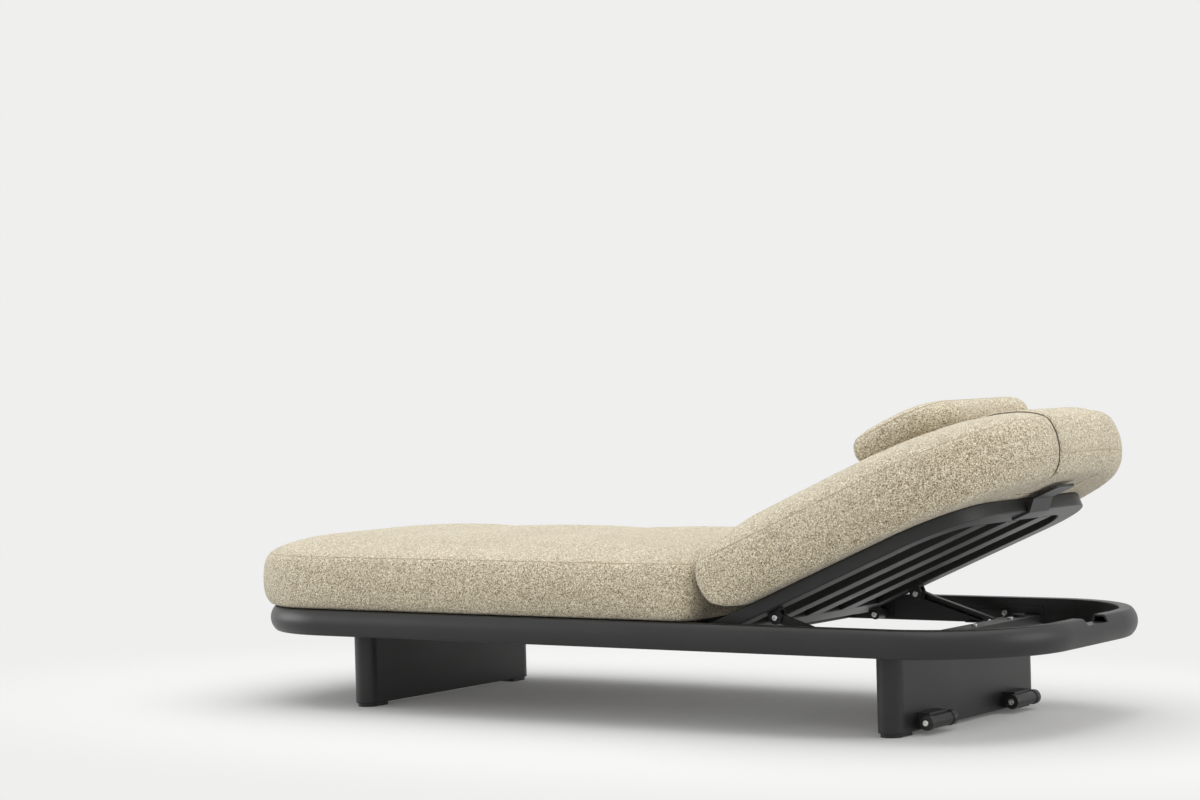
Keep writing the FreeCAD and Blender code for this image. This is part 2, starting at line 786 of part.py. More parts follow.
def seat_deck():
    # Modelled from its head end towards the foot, then turned round.
    head_end = hinge_x - math.hypot(size("back_tail"), back_top) - size("deck_head_gap")
    foot_end = foot_x + size("ring_depth") + size("deck_foot_gap")
    bottom = size("ring_bottom") + size("ring_height") - size("panel_height")
    swing = f"sqrt(back_tail ^ 2 + {BACK_TOP} ^ 2)"
    length = (f"(ring_length - hinge_from_head - {swing} - deck_head_gap - ring_depth"
              " - deck_foot_gap)")
    place = Placement(Vector(head_end, 0, 0), Rotation(UP, HALF_TURN))
    slatted_panel("deck", "0", length, f"({RING_TOP} - panel_height)",
                  head_end - foot_end, bottom, place)
    pads = []
    for beam, centre in (("foot", FOOT_LEG_X), ("middle", MIDDLE_BEAM_X)):
        for i, share in enumerate(DECK_PAD_SHARES, 1):
            pads.append(rod(f"{beam}_deck_pad_{i}", "deck_pad_radius",
                            f"{RING_TOP} - panel_height - {BEAM_TOP}", centre,
                            f"{PANEL} * {share}", BEAM_TOP))
    node("deck_pads", group("deck_pads", pads))
    stops = [rod(f"back_stop_{i}", "deck_pad_radius",
                 f"{RING_TOP} - panel_height - {BEAM_TOP} - stop_gap", HEAD_BEAM_X,
                 f"{PANEL} * {share}", BEAM_TOP)
             for i, share in enumerate(DECK_PAD_SHARES, 1)]
    node("back_stop_pads", group("back_stop_pads", stops))


back_top = size("back_drop") + size("panel_height")


# Recline hinge: a bracket on each rail, a pin, and a lug under each side of the backrest

def hinge():
    boss_face = f"({INSIDE} - hinge_plate_thickness)"
    lug_face = f"({PANEL} / 2)"
    for side, sign in SIDES:
        plate = box(f"{side}_hinge_plate", "hinge_plate_length", "hinge_plate_thickness",
                    "hinge_plate_height", f"{HINGE_X} - hinge_plate_length / 2",
                    slab_start(sign, INSIDE, "hinge_plate_thickness"),
                    "ring_bottom + ring_inner_edge")
        soft_plate = rounded(f"{side}_hinge_plate_round", plate, size("beam_edge"),
                             runs_along(ACROSS))
        boss_length = f"({boss_face} - {lug_face} - hinge_gap)"
        boss = rod(f"{side}_hinge_boss", "hinge_boss_radius", boss_length, HINGE_X,
                   slab_start(sign, boss_face, boss_length), "hinge_height", ACROSS)
        bore_length = f"{boss_length} + hinge_plate_thickness + overrun"
        bore = rod(f"{side}_hinge_bore", "hinge_pin_radius + pin_play", bore_length, HINGE_X,
                   slab_start(sign, INSIDE, bore_length), "hinge_height", ACROSS)
        solid = fused(f"{side}_hinge_solid", [soft_plate, boss])
        node(f"{side}_hinge_bracket", cut(f"{side}_hinge_bracket", solid, [bore]))
        # lug, from the hinge axis
        eye = rod(f"{side}_lug_eye", "hinge_boss_radius", "hinge_lug_thickness", "0",
                  slab_start(sign, lug_face, "hinge_lug_thickness"), "0", ACROSS)
        block = box(f"{side}_lug_block", "2 * hinge_boss_radius", "hinge_lug_thickness",
                    "back_drop", "-hinge_boss_radius",
                    slab_start(sign, lug_face, "hinge_lug_thickness"), "0")
        lug = fused(f"{side}_lug_solid", [eye, block])
        hole = rod(f"{side}_lug_hole", "hinge_pin_radius + pin_play",
                   "hinge_lug_thickness + 2 * overrun", "0",
                   slab_start(sign, f"{lug_face} + overrun",
                              "hinge_lug_thickness + 2 * overrun"), "0", ACROSS)
        node(f"{side}_hinge_lug", cut(f"{side}_hinge_lug", lug, [hole]), back_place)
    washers = []
    for side, sign in SIDES:
        thickness = "(hinge_gap - 2 * hinge_washer_play)"
        outer = f"{lug_face} + hinge_gap - hinge_washer_play"
        disc = rod(f"{side}_washer_disc", "hinge_boss_radius", thickness, HINGE_X,
                   slab_start(sign, outer, thickness), "hinge_height", ACROSS)
        hole = rod(f"{side}_washer_hole", "hinge_pin_radius + pin_play",
                   f"{thickness} + 2 * overrun", HINGE_X,
                   slab_start(sign, f"{outer} + overrun", f"{thickness} + 2 * overrun"),
                   "hinge_height", ACROSS)
        washers.append(cut(f"{side}_washer", disc, [hole]))
    node("hinge_washers", group("hinge_washers", washers))
    # the pins run from the rails' inner faces to just past the lugs
    seat = panel_width / 2 - size("hinge_lug_thickness") - size("hinge_washer_play")
    inside = size("ring_width") / 2 - size("ring_depth")
    places = [(Vector(hinge_x, sign * seat, size("hinge_height")), -ACROSS * sign)
              for side, sign in SIDES]
    bolt_group("hinge_pins", places, size("hinge_pin_radius"), inside - seat,
               size("hinge_head_radius"), size("hinge_head_height"))


# Struts: a clevis under each side tube, a channel strut and a pin in the slotted rail

pivot_local = Vector(size("strut_pivot_reach"), 0, -size("strut_pivot_drop"))
pivot_world = back_place.multVec(pivot_local)
strut_angle = math.degrees(math.asin((pivot_world.z - size("strut_end_height"))
                                     / size("strut_length")))
strut_place = Placement(pivot_world, Rotation(ACROSS, strut_angle))


def strut_side(side, sign):
    outer_ear = f"({STRUT_Y} + strut_thickness / 2 + ear_play + ear_thickness)"
    inner_ear = f"({STRUT_Y} - strut_thickness / 2 - ear_play)"
    ear_span = f"({outer_ear} - {inner_ear} + ear_thickness)"
    # clevis, from the hinge axis
    left = "strut_pivot_reach - ear_width / 2"
    plate = box(f"{side}_clevis_plate", "ear_width", ear_span, "bracket_plate", left,
                slab_start(sign, outer_ear, ear_span), "back_drop - bracket_plate")
    pieces = [plate]
    for ear, face in (("outer", outer_ear), ("inner", inner_ear)):
        y = slab_start(sign, face, "ear_thickness")
        pieces.append(box(f"{side}_{ear}_ear", "ear_width", "ear_thickness",
                          "back_drop - bracket_plate + strut_pivot_drop", left, y,
                          "-strut_pivot_drop"))
        pieces.append(rod(f"{side}_{ear}_ear_round", "ear_width / 2", "ear_thickness",
                          "strut_pivot_reach", y, "-strut_pivot_drop", ACROSS))
    hole_length = f"{ear_span} + 2 * overrun"
    hole = rod(f"{side}_clevis_hole", "pivot_radius + pin_play", hole_length,
               "strut_pivot_reach", slab_start(sign, f"{outer_ear} + overrun", hole_length),
               "-strut_pivot_drop", ACROSS)
    clevis = cut(f"{side}_strut_bracket", fused(f"{side}_clevis_solid", pieces), [hole])
    node(f"{side}_strut_bracket", clevis, back_place)
    # strut, from its pivot, with its open side towards the middle of the lounger
    outer = f"({STRUT_Y} + strut_thickness / 2)"
    y = slab_start(sign, outer, "strut_thickness")
    blade, pad = padded_body(f"{side}_strut_blade", "XZ", (
        ("0", "-strut_head_radius"),
        ("strut_taper", "-strut_half_depth"),
        ("strut_length", "-strut_half_depth"),
        ("strut_length", "strut_half_depth"),
        ("strut_taper", "strut_half_depth"),
        ("0", "strut_head_radius"),
    ), y, "strut_thickness")
    head = rod(f"{side}_strut_head", "strut_head_radius", "strut_thickness", "0", y, "0", ACROSS)
    tail = rod(f"{side}_strut_tail", "strut_half_depth", "strut_thickness", "strut_length", y,
               "0", ACROSS)
    solid = fused(f"{side}_strut_solid", [blade, head, tail])
    recess_start = "(strut_head_radius * 2)"
    open_face = f"({STRUT_Y} - strut_thickness / 2)"
    recess_depth = "(strut_thickness - strut_web + overrun)"
    recess_outer = f"({open_face} + strut_thickness - strut_web)"
    recess = box(f"{side}_strut_recess", f"strut_length - {recess_start} - 2 * strut_half_depth",
                 recess_depth, "2 * (strut_half_depth - strut_web)", recess_start,
                 slab_start(sign, recess_outer, recess_depth), "strut_web - strut_half_depth")
    through = "strut_thickness + 2 * overrun"
    hole_y = slab_start(sign, f"{outer} + overrun", through)
    holes = [rod(f"{side}_strut_hole_1", "pivot_radius + pin_play", through, "0", hole_y, "0",
                 ACROSS),
             rod(f"{side}_strut_hole_2", "end_pin_radius + pin_play", through, "strut_length",
                 hole_y, "0", ACROSS)]
    node(f"{side}_strut", cut(f"{side}_strut", solid, [recess] + holes), strut_place)


def struts():
    for side, sign in SIDES:
        strut_side(side, sign)
    outer_ear = (strut_y + size("strut_thickness") / 2 + size("ear_play")
                 + size("ear_thickness"))
    inner_ear = 2 * strut_y - outer_ear
    places = [(pivot_local + ACROSS * (sign * outer_ear), ACROSS * sign) for side, sign in SIDES]
    bolt_group("strut_pivot_bolts", places, size("pivot_radius"), outer_ear - inner_ear,
               size("bolt_head_radius"), size("bolt_head_height"), True, back_place)
    length = "(strut_inset - ratchet_plate - ear_play + strut_thickness / 2)"
    for side, sign in SIDES:
        y = slab_start(sign, f"{INSIDE} - ratchet_plate - ear_play", length)
        pin = rod(f"{side}_pin_rod", "end_pin_radius", length, "strut_length", y, "0", ACROSS)
        node(f"{side}_end_pin", group(f"{side}_end_pin", [pin]), strut_place)


def ratchet_rails():
    # a stepped plate on the rail's inner face and a scalloped ledge below it
    left = f"({HEAD} - ratchet_from_head)"
    right = f"({left} + ratchet_length)"
    low = "(ring_bottom + ratchet_low_gap)"
    top = f"({low} + ratchet_height)"
    ledge_top = f"({low} + ledge_thickness)"
    for side, sign in SIDES:
        name = f"{side}_ratchet"
        plate, pad = padded_body(f"{name}_plate", "XZ", (
            (left, low),
            (right, low),
            (right, f"{top} - ratchet_step_height"),
            (f"{right} - ratchet_step_length", f"{top} - ratchet_step_height"),
            (f"{right} - ratchet_step_length", top),
            (left, top),
        ), slab_start(sign, INSIDE, "ratchet_plate"), "ratchet_plate", [
            (f"{left} + ratchet_length * {share}", f"{low} + ratchet_screw_height",
             "bolt_radius + bolt_play") for share in SCREW_SHARES])
        ledge_y = slab_start(sign, f"{INSIDE} - ratchet_plate", "ledge_width")
        ledge, pad = padded_body(f"{name}_ledge", "XZ", (
            (left, low),
            (right, low),
            (right, ledge_top),
            (left, ledge_top),
        ), ledge_y, "ledge_width")
        sketch = sketch_on(ledge, f"{name}_scallop_outline", "XZ", f"-({ledge_y})")
        ring_line(sketch, f"{HEAD} - last_scallop_from_head",
                  f"{ledge_top} + scallop_radius - scallop_depth", "scallop_radius")
        scallop = ledge.newObject("PartDesign::Pocket", f"{name}_scallop")
        scallop.Profile = sketch
        bind(scallop, "Length", "2 * ledge_width + overrun")
        scallop.Midplane = True
        doc.recompute()
        scallops = ledge.newObject("PartDesign::LinearPattern", f"{name}_scallops")
        scallops.Originals = [scallop]
        scallops.Direction = (sketch, ["H_Axis"])
        scallops.Reversed = True
        bind(scallops, "Length", "scallop_pitch * (scallop_count - 1)")
        bind(scallops, "Occurrences", "scallop_count")
        ledge.Tip = scallops
        node(f"{side}_ratchet_rail", group(f"{side}_ratchet_rail", [plate, ledge]))
    x0 = head_x - size("ratchet_from_head")
    z = size("ring_bottom") + size("ratchet_low_gap") + size("ratchet_screw_height")
    face = size("ring_width") / 2 - size("ring_depth") - size("ratchet_plate")
    places = [(Vector(x0 + size("ratchet_length") * share, sign * face, z), -ACROSS * sign)
              for side, sign in SIDES for share in SCREW_SHARES]
    frame_bolts("ratchet_screws", places, size("screw_length"))


# Lift tongue: one bent strip, from the hinge axis

def lift_tongue():
    mitre = "(tongue_thickness / 2 * tan(atan(tongue_rise / tongue_run) / 2))"
    bend_x = "(back_reach + tongue_thickness * 0.7)"
    low = "(back_drop - tongue_thickness)"
    top_x = f"({bend_x} + tongue_run)"
    tip_x = f"({top_x} + tongue_length)"
    body, pad = padded_body("lift_tongue", "XZ", (
        ("back_reach - tongue_tab", "back_drop"),
        ("back_reach - tongue_tab", low),
        (f"{bend_x} + {mitre}", low),
        (f"{top_x} + {mitre}", f"{low} + tongue_rise"),
        (tip_x, f"{low} + tongue_rise"),
        (tip_x, "back_drop + tongue_rise"),
        (f"{top_x} - {mitre}", "back_drop + tongue_rise"),
        (f"{bend_x} - {mitre}", "back_drop"),
    ), "-tongue_width / 2", "tongue_width")
    doc.recompute()
    reach = pad.Shape.BoundBox.XMax
    on_tip = runs_along(UP)
    round_body_edges(body, pad, "tongue_corner",
                     lambda edge: on_tip(edge) and edge.CenterOfMass.x > reach - 0.01)
    node("lift_tongue", body, back_place)


# Rollers: a housing on the head leg, with a wheel at each end of a common axle

def roller_unit(side, sign):
    leg_face = f"({HEAD_LEG_X} + leg_thickness / 2)"
    axis_x = f"({leg_face} + roller_offset)"
    centre = f"({sign} * {ROLLER_Y})"
    core_span = "(roller_span - 2 * roller_width - 2 * roller_play)"
    core_y = f"{centre} - {core_span} / 2"
    barrel = rod(f"{side}_barrel", "housing_radius", core_span, axis_x, core_y,
                 "roller_height", ACROSS)
    foot = box(f"{side}_housing_foot", "roller_offset", core_span, "2 * housing_radius",
               leg_face, core_y, "roller_height - housing_radius")
    ridge = box(f"{side}_housing_ridge", "roller_offset", core_span, "housing_ridge",
                leg_face, core_y, "roller_height + housing_radius")
    solid = fused(f"{side}_housing_solid", [barrel, foot, ridge])
    bore = rod(f"{side}_axle_bore", "axle_radius + pin_play", f"{core_span} + 2 * overrun",
               axis_x, f"{core_y} - overrun", "roller_height", ACROSS)
    node(f"{side}_roller_housing", cut(f"{side}_roller_housing", solid, [bore]))
    wheels = []
    for end in (-1, 1):
        name = f"{side}_wheel_{'outer' if end == sign else 'inner'}"
        y = (f"{centre} - roller_span / 2" if end < 0
             else f"{centre} + roller_span / 2 - roller_width")
        disc = rod(f"{name}_disc", "roller_radius", "roller_width", axis_x, y,
                   "roller_height", ACROSS)
        soft = rounded(f"{name}_soft", disc, size("roller_edge"),
                       lambda edge: edge.Curve.TypeId == "Part::GeomCircle")
        hole = rod(f"{name}_hole", "axle_radius + pin_play", "roller_width + 2 * overrun",
                   axis_x, f"{y} - overrun", "roller_height", ACROSS)
        wheels.append(cut(name, soft, [hole]))
    node(f"{side}_rollers", group(f"{side}_rollers", wheels))
    axis = Vector(leg_places[1] + size("leg_thickness") / 2 + size("roller_offset"), 0,
                  size("roller_height"))
    end_y = sign * (leg_span / 2 - size("roller_from_leg_end")) + size("roller_span") / 2
    bolt_group(f"{side}_roller_axle", [(axis + ACROSS * end_y, ACROSS)], size("axle_radius"),
               size("roller_span"), size("bolt_head_radius"), size("bolt_head_height"), True)


# Cushions: stacked outlines with a crown and drawn-in sides

def cushion_outline(x0, x1, half, foot_corner, head_corner, z):
    bend = 1 - math.sqrt(0.5)
    f = foot_corner
    h = head_corner

    def spot(x, y):
        return Vector(x, y, z)

    return wire_through([
        (spot(x0, f - half), spot(x0 + f * bend, f * bend - half), spot(x0 + f, -half)),
        (spot(x1 - h, -half), spot(x1 - h * bend, h * bend - half), spot(x1, h - half)),
        (spot(x1, half - h), spot(x1 - h * bend, half - h * bend), spot(x1 - h, half)),
        (spot(x0 + f, half), spot(x0 + f * bend, half - f * bend), spot(x0, half - f)),
    ])


def form_rows(form_shares, crown_shares, length, half, thickness):
    rows = [[share * thickness for share in row] for row in form_shares]
    rows += [[height * thickness, sides * half, foot * length, head * length]
             for height, sides, foot, head in crown_shares]
    return rows


def cushion_shape(x0, x1, half, bottom, rows, foot_corner, head_corner):
    wires = []
    for height, side_inset, foot, head in rows:
        def corner(radius, inset):
            wanted = max(radius - inset, size("cushion_end_corner") + inset * CORNER_GROWTH_SHARE)
            return min(wanted, limit)

        limit = min(half - side_inset, (x1 - x0 - foot - head) / 2) * CORNER_LIMIT_SHARE
        wires.append(cushion_outline(
            x0 + foot, x1 - head, half - side_inset, corner(foot_corner, side_inset),
            corner(head_corner, side_inset), bottom + height))
    return Part.makeLoft(wires, True, True)


def soft_node(name, shape, place=None):
    piece = doc.addObject("Part::Feature", name)
    piece.Shape = shape
    return node(name, piece, place)


def cushions():
    ring_top = size("ring_bottom") + size("ring_height")
    half = size("ring_width") / 2 - size("cushion_inset")
    play = size("cushion_play")
    seat_start = foot_x - size("foot_overhang")
    seat_end = head_x - size("seat_end_from_head")
    seat_rows = form_rows(SEAT_FORM_SHARES, SEAT_CROWN_SHARES, seat_end - seat_start, half,
                          size("seat_thickness"))
    seat = cushion_shape(seat_start, seat_end, half, ring_top + play, seat_rows,
                         size("seat_cushion_corner"), size("cushion_end_corner"))
    soft_node("seat_cushion", seat)
    # The back cushion slides up the backrest as it tilts, so its foot end stays clear.
    flat_start = size("hinge_from_head") - size("seat_end_from_head") + size("cushion_gap")
    start = flat_start + size("cushion_travel_per_radian") * math.radians(rest_angle)
    end = start + size("back_cushion_length")
    bottom = back_top + play
    thickness = size("back_thickness")
    back_rows = form_rows(BACK_FORM_SHARES, BACK_CROWN_SHARES, size("back_cushion_length"),
                          half, thickness)
    cushion = cushion_shape(start, end, half, bottom, back_rows, size("cushion_end_corner"),
                            size("back_cushion_corner"))
    # recess that takes the tucked end of the flap
    flap_half = size("flap_width") / 2
    flap_thickness = size("flap_thickness")
    overrun = size("overrun")
    tuck = end - size("flap_tuck")
    recess_top = bottom + flap_thickness + 2 * play
    recess = Part.makeBox(size("flap_tuck") + overrun, 2 * (flap_half + play),
                          recess_top - bottom + overrun,
                          Vector(tuck - play, -flap_half - play, bottom - overrun))
    cushion = cushion.cut(recess)
    soft_node("back_cushion", cushion, back_place)
    # head pillow, on the crown
    pillow_end = end - size("pillow_from_head") + size("pillow_length")
    # its underside follows the crown
    pillow_bottom = bottom + thickness + play - size("pillow_sink")
    pillow_half = size("pillow_width") / 2
    pillow_rows = form_rows(PILLOW_FORM_SHARES, PILLOW_CROWN_SHARES, size("pillow_length"),
                            pillow_half, size("pillow_thickness") + size("pillow_sink"))
    pillow = cushion_shape(pillow_end - size("pillow_length"), pillow_end, pillow_half,
                           pillow_bottom, pillow_rows, size("pillow_corner"),
                           size("pillow_corner"))
    pillow = pillow.cut(cushion.translated(UP * play))
    soft_node("head_pillow", pillow, back_place)
    # flap: follows the cushion's middle section round its head end
    section = [Vector(end - head, 0, bottom + height) for height, sides, foot, head in back_rows]
    middle = section[-1].x - size("flap_seam")
    corners = ([Vector(middle, 0, bottom)] + section
               + [Vector(middle, 0, bottom + thickness)])
    face = Part.Face(Part.makePolygon(corners + [corners[0]]))
    recess_face = Part.Face(Part.makePolygon([
        Vector(tuck - play, 0, bottom - overrun), Vector(end, 0, bottom - overrun),
        Vector(end, 0, recess_top), Vector(tuck - play, 0, recess_top),
        Vector(tuck - play, 0, bottom - overrun)]))
    face = face.cut(recess_face).Faces[0]
    inner = face.makeOffset2D(play, 0)
    outer = face.makeOffset2D(play + flap_thickness, 0)
    band = outer.cut(inner)
    width = ACROSS * size("flap_width")
    strip = band.extrude(width)
    strip.translate(-width / 2)
    height = 2 * thickness
    split = bottom + thickness / 2
    seam = pillow_end - size("flap_seam")
    upper = Part.makeBox(height * 2, size("flap_width"), height,
                         Vector(seam, -flap_half, split))
    lower = Part.makeBox(height * 2, size("flap_width"), split - bottom - play,
                         Vector(tuck, -flap_half, bottom + play))
    flap = strip.common(upper).fuse(strip.common(lower)).removeSplitter()
    flap = flap.cut(pillow.translated(Vector(play, 0, -play)))
    soft_node("pillow_flap", flap, back_place)


ring_frame()
cross_beams()
legs()
seat_deck()
slatted_panel("back", "(-back_tail)", "back_reach", "back_drop", size("back_reach"),
              size("back_drop"), back_place)
hinge()
struts()
ratchet_rails()
lift_tongue()
for side, sign in SIDES:
    roller_unit(side, sign)
cushions()
doc.recompute()

for item in doc.Objects:
    if "Invalid" in item.State or "Error" in item.State:
        raise RuntimeError(f"{item.Name} did not compute: {item.State}")
for name, piece in nodes:
    if piece.Shape.isNull() or not piece.Shape.isValid():
        raise RuntimeError(f"{name} has no valid shape")

os.makedirs("parts", exist_ok=True)
for name, piece in nodes:
    piece.Shape.exportStep(f"parts/{name}.step")
print(len(nodes), "sub-parts written")
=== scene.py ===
import json
import math

import bpy
import numpy as np
from mathutils import Matrix, Vector
from mathutils.bvhtree import BVHTree


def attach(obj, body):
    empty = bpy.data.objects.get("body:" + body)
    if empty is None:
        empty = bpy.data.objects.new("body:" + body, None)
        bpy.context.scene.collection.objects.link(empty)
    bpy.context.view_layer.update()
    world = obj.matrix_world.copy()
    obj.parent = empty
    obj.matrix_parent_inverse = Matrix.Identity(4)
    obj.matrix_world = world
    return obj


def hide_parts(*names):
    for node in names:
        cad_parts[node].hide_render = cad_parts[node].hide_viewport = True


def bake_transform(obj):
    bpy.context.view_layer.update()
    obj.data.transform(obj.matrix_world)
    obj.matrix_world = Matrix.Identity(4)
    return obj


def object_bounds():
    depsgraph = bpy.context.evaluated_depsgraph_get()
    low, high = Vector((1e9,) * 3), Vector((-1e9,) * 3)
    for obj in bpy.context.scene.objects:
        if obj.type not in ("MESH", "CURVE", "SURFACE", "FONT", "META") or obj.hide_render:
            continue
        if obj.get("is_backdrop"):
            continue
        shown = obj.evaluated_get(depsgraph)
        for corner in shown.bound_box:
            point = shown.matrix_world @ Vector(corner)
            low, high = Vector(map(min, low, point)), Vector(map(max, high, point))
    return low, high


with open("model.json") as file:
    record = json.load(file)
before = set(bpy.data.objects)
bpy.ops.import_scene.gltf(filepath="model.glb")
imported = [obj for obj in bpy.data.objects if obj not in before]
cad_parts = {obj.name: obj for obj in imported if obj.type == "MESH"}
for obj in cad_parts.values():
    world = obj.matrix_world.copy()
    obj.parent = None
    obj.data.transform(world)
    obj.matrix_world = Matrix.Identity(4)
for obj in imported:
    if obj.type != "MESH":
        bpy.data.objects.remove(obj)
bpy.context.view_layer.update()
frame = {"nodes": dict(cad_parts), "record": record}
scene = bpy.context.scene

# ---- camera, from the fit to the photograph
cam_data = bpy.data.cameras.new("main_camera")
cam_data.lens = 86.73
cam_data.sensor_width = 36.0
cam_data.sensor_fit = "HORIZONTAL"
cam_data.clip_end = 60.0
cam = bpy.data.objects.new("main_camera", cam_data)
scene.collection.objects.link(cam)
cam.matrix_world = Matrix((
    (0.820099, 0.01458, 0.572035, 3.6973),
    (0.571556, 0.027317, -0.820108, -5.6012),
    (-0.027584, 0.99952, 0.01407, 0.80907),
    (0, 0, 0, 1)))
scene.camera = cam

# ---- stage: a pale sweep, a soft sky and three large lamps
scene.view_settings.view_transform = "Standard"


def new_mesh(name, points, faces):
    mesh = bpy.data.meshes.new(name)
    mesh.from_pydata([tuple(map(float, p)) for p in points], [],
                     [tuple(map(int, f)) for f in faces])
    mesh.update()
    mesh.polygons.foreach_set("use_smooth", [True] * len(mesh.polygons))
    obj = bpy.data.objects.new(name, mesh)
    scene.collection.objects.link(obj)
    return obj


def add_node(nt, kind, **settings):
    node = nt.nodes.new("ShaderNode" + kind)
    for key, value in settings.items():
        setattr(node, key, value)
    return node


def object_coords(nt):
    return add_node(nt, "TexCoord").outputs["Object"]


def math_node(nt, operation, *sources):
    # the sources are sockets or plain numbers
    node = add_node(nt, "Math", operation=operation)
    for socket, source in zip(node.inputs, sources):
        if isinstance(source, float):
            socket.default_value = source
        else:
            nt.links.new(source, socket)
    return node.outputs[0]


PAPER = (0.565, 0.565, 0.56, 1)
# a faint painted glow on the near paper, lightening the lounger's shadow on it
PAPER_SHADOW_GLOW = (0.068, 0.068, 0.067, 1)
BACKDROP = (0.862, 0.862, 0.857, 1)
# half sizes of the ellipsoid that holds the shadow; the paper fades out from 1 to 1.7 of it
SHADOW_REACH = (1.45, 0.85, 0.3)
FADE_FROM, FADE_TO = 1.0, 1.7


def stage_material():
    # near the lounger the paper takes its shadow, lightened by a faint painted glow; further off
    # it is an even pale grey
    mat = bpy.data.materials.new("studio_paper")
    mat.use_nodes = True
    nt = mat.node_tree
    nt.nodes.clear()
    diffuse = add_node(nt, "BsdfDiffuse")
    diffuse.inputs["Color"].default_value = PAPER
    # painted glow added to the near paper, lifting its shadow
    shadow_glow = add_node(nt, "Emission")
    shadow_glow.inputs["Color"].default_value = PAPER_SHADOW_GLOW
    even = add_node(nt, "Emission")
    even.inputs["Color"].default_value = BACKDROP
    scale = add_node(nt, "VectorMath", operation="MULTIPLY")
    scale.inputs[1].default_value = [1 / reach for reach in SHADOW_REACH]
    distance = add_node(nt, "VectorMath", operation="LENGTH")
    far = add_node(nt, "MapRange", interpolation_type="SMOOTHSTEP")
    far.inputs["From Min"].default_value = FADE_FROM
    far.inputs["From Max"].default_value = FADE_TO
    nt.links.new(object_coords(nt), scale.inputs[0])
    nt.links.new(scale.outputs["Vector"], distance.inputs[0])
    nt.links.new(distance.outputs["Value"], far.inputs["Value"])
    path = add_node(nt, "LightPath")
    seen = math_node(nt, "MAXIMUM", path.outputs["Is Camera Ray"], path.outputs["Is Glossy Ray"])
    seen = math_node(nt, "MAXIMUM", seen, path.outputs["Is Transmission Ray"])
    share = math_node(nt, "MULTIPLY", far.outputs["Result"], seen)
    near = add_node(nt, "AddShader")
    mix = add_node(nt, "MixShader")
    out = add_node(nt, "OutputMaterial")
    nt.links.new(diffuse.outputs[0], near.inputs[0])
    nt.links.new(shadow_glow.outputs[0], near.inputs[1])
    nt.links.new(share, mix.inputs["Fac"])
    nt.links.new(near.outputs[0], mix.inputs[1])
    nt.links.new(even.outputs[0], mix.inputs[2])
    nt.links.new(mix.outputs[0], out.inputs["Surface"])
    return mat


# the sweep runs level along the camera's line of sight, then bends up into the backdrop
SWEEP_START, SWEEP_BEND, SWEEP_TOP, SWEEP_HALF = -9.0, 7.0, 14.0, 16.0
BEND_RADIUS = 5.0
BEND_STEPS = 24


def make_stage():
    profile = [(SWEEP_START, 0.0), (SWEEP_BEND, 0.0)]
    for i in range(1, BEND_STEPS + 1):
        a = math.radians(90 * i / BEND_STEPS)
        profile.append((SWEEP_BEND + BEND_RADIUS * math.sin(a),
                        BEND_RADIUS - BEND_RADIUS * math.cos(a)))
    profile.append((SWEEP_BEND + BEND_RADIUS, SWEEP_TOP))
    away = Vector((-0.572, 0.820, 0.0)).normalized()
    side = Vector((away.y, -away.x, 0.0))
    pts, faces = [], []
    for d, z in profile:
        for w in (-SWEEP_HALF, SWEEP_HALF):
            p = away * d + side * w
            pts.append((p.x, p.y, z))
    for i in range(len(profile) - 1):
        faces.append((2 * i, 2 * i + 1, 2 * i + 3, 2 * i + 2))
    floor = new_mesh("studio_sweep", pts, faces)
    floor.data.materials.append(stage_material())
    floor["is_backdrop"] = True


make_stage()

world = bpy.data.worlds.new("studio_world")
scene.world = world
world.use_nodes = True
sky = world.node_tree.nodes["Background"]
sky.inputs["Color"].default_value = (1.0, 1.0, 0.995, 1)
sky.inputs["Strength"].default_value = 0.862


def lamp(name, place, target, size, power):
    data = bpy.data.lights.new(name, "AREA")
    data.shape = "RECTANGLE"
    data.size, data.size_y = size
    data.energy = power
    obj = bpy.data.objects.new(name, data)
    obj.location = place
    obj.rotation_euler = (Vector(target) - Vector(place)).to_track_quat("-Z", "Y").to_euler()
    scene.collection.objects.link(obj)


lamp("overhead_softbox", (0.1, 0.2, 3.6), (0.0, 0.0, 0.0), (6.0, 4.8), 152)
lamp("head_end_softbox", (4.4, 0.6, 1.5), (0.6, 0.0, 0.4), (2.4, 2.0), 42)
lamp("foot_end_fill", (-4.8, -1.8, 1.3), (-0.4, 0.0, 0.1), (3.0, 2.0), 70)

# ---- materials


def material(name, base, rough, metallic=0.0):
    mat = bpy.data.materials.new(name)
    mat.use_nodes = True
    nt = mat.node_tree
    bsdf = nt.nodes["Principled BSDF"]
    bsdf.inputs["Base Color"].default_value = (*base, 1)
    bsdf.inputs["Roughness"].default_value = rough
    bsdf.inputs["Metallic"].default_value = metallic
    return mat, nt, bsdf


def noise(nt, scale, detail=2.0, rough=0.5, distort=0.0, coords=None):
    node = add_node(nt, "TexNoise")
    node.inputs["Scale"].default_value = scale
    node.inputs["Detail"].default_value = detail
    node.inputs["Roughness"].default_value = rough
    node.inputs["Distortion"].default_value = distort
    nt.links.new(coords, node.inputs["Vector"])
    return node


def ramp(nt, source, stops):
    node = add_node(nt, "ValToRGB")
    while len(node.color_ramp.elements) < len(stops):
        node.color_ramp.elements.new(0.5)
    for element, (place, colour) in zip(node.color_ramp.elements, stops):
        element.position = place
        element.color = (*colour, 1)
    nt.links.new(source, node.inputs["Fac"])
    return node.outputs["Color"]


def grey(v):
    return (v, v, v)


def bump(nt, bsdf, height, distance, strength=1.0, under=None):
    node = add_node(nt, "Bump")
    node.inputs["Strength"].default_value = strength
    node.inputs["Distance"].default_value = distance
    nt.links.new(height, node.inputs["Height"])
    if under is not None:
        nt.links.new(under.outputs["Normal"], node.inputs["Normal"])
    nt.links.new(node.outputs["Normal"], bsdf.inputs["Normal"])
    return node


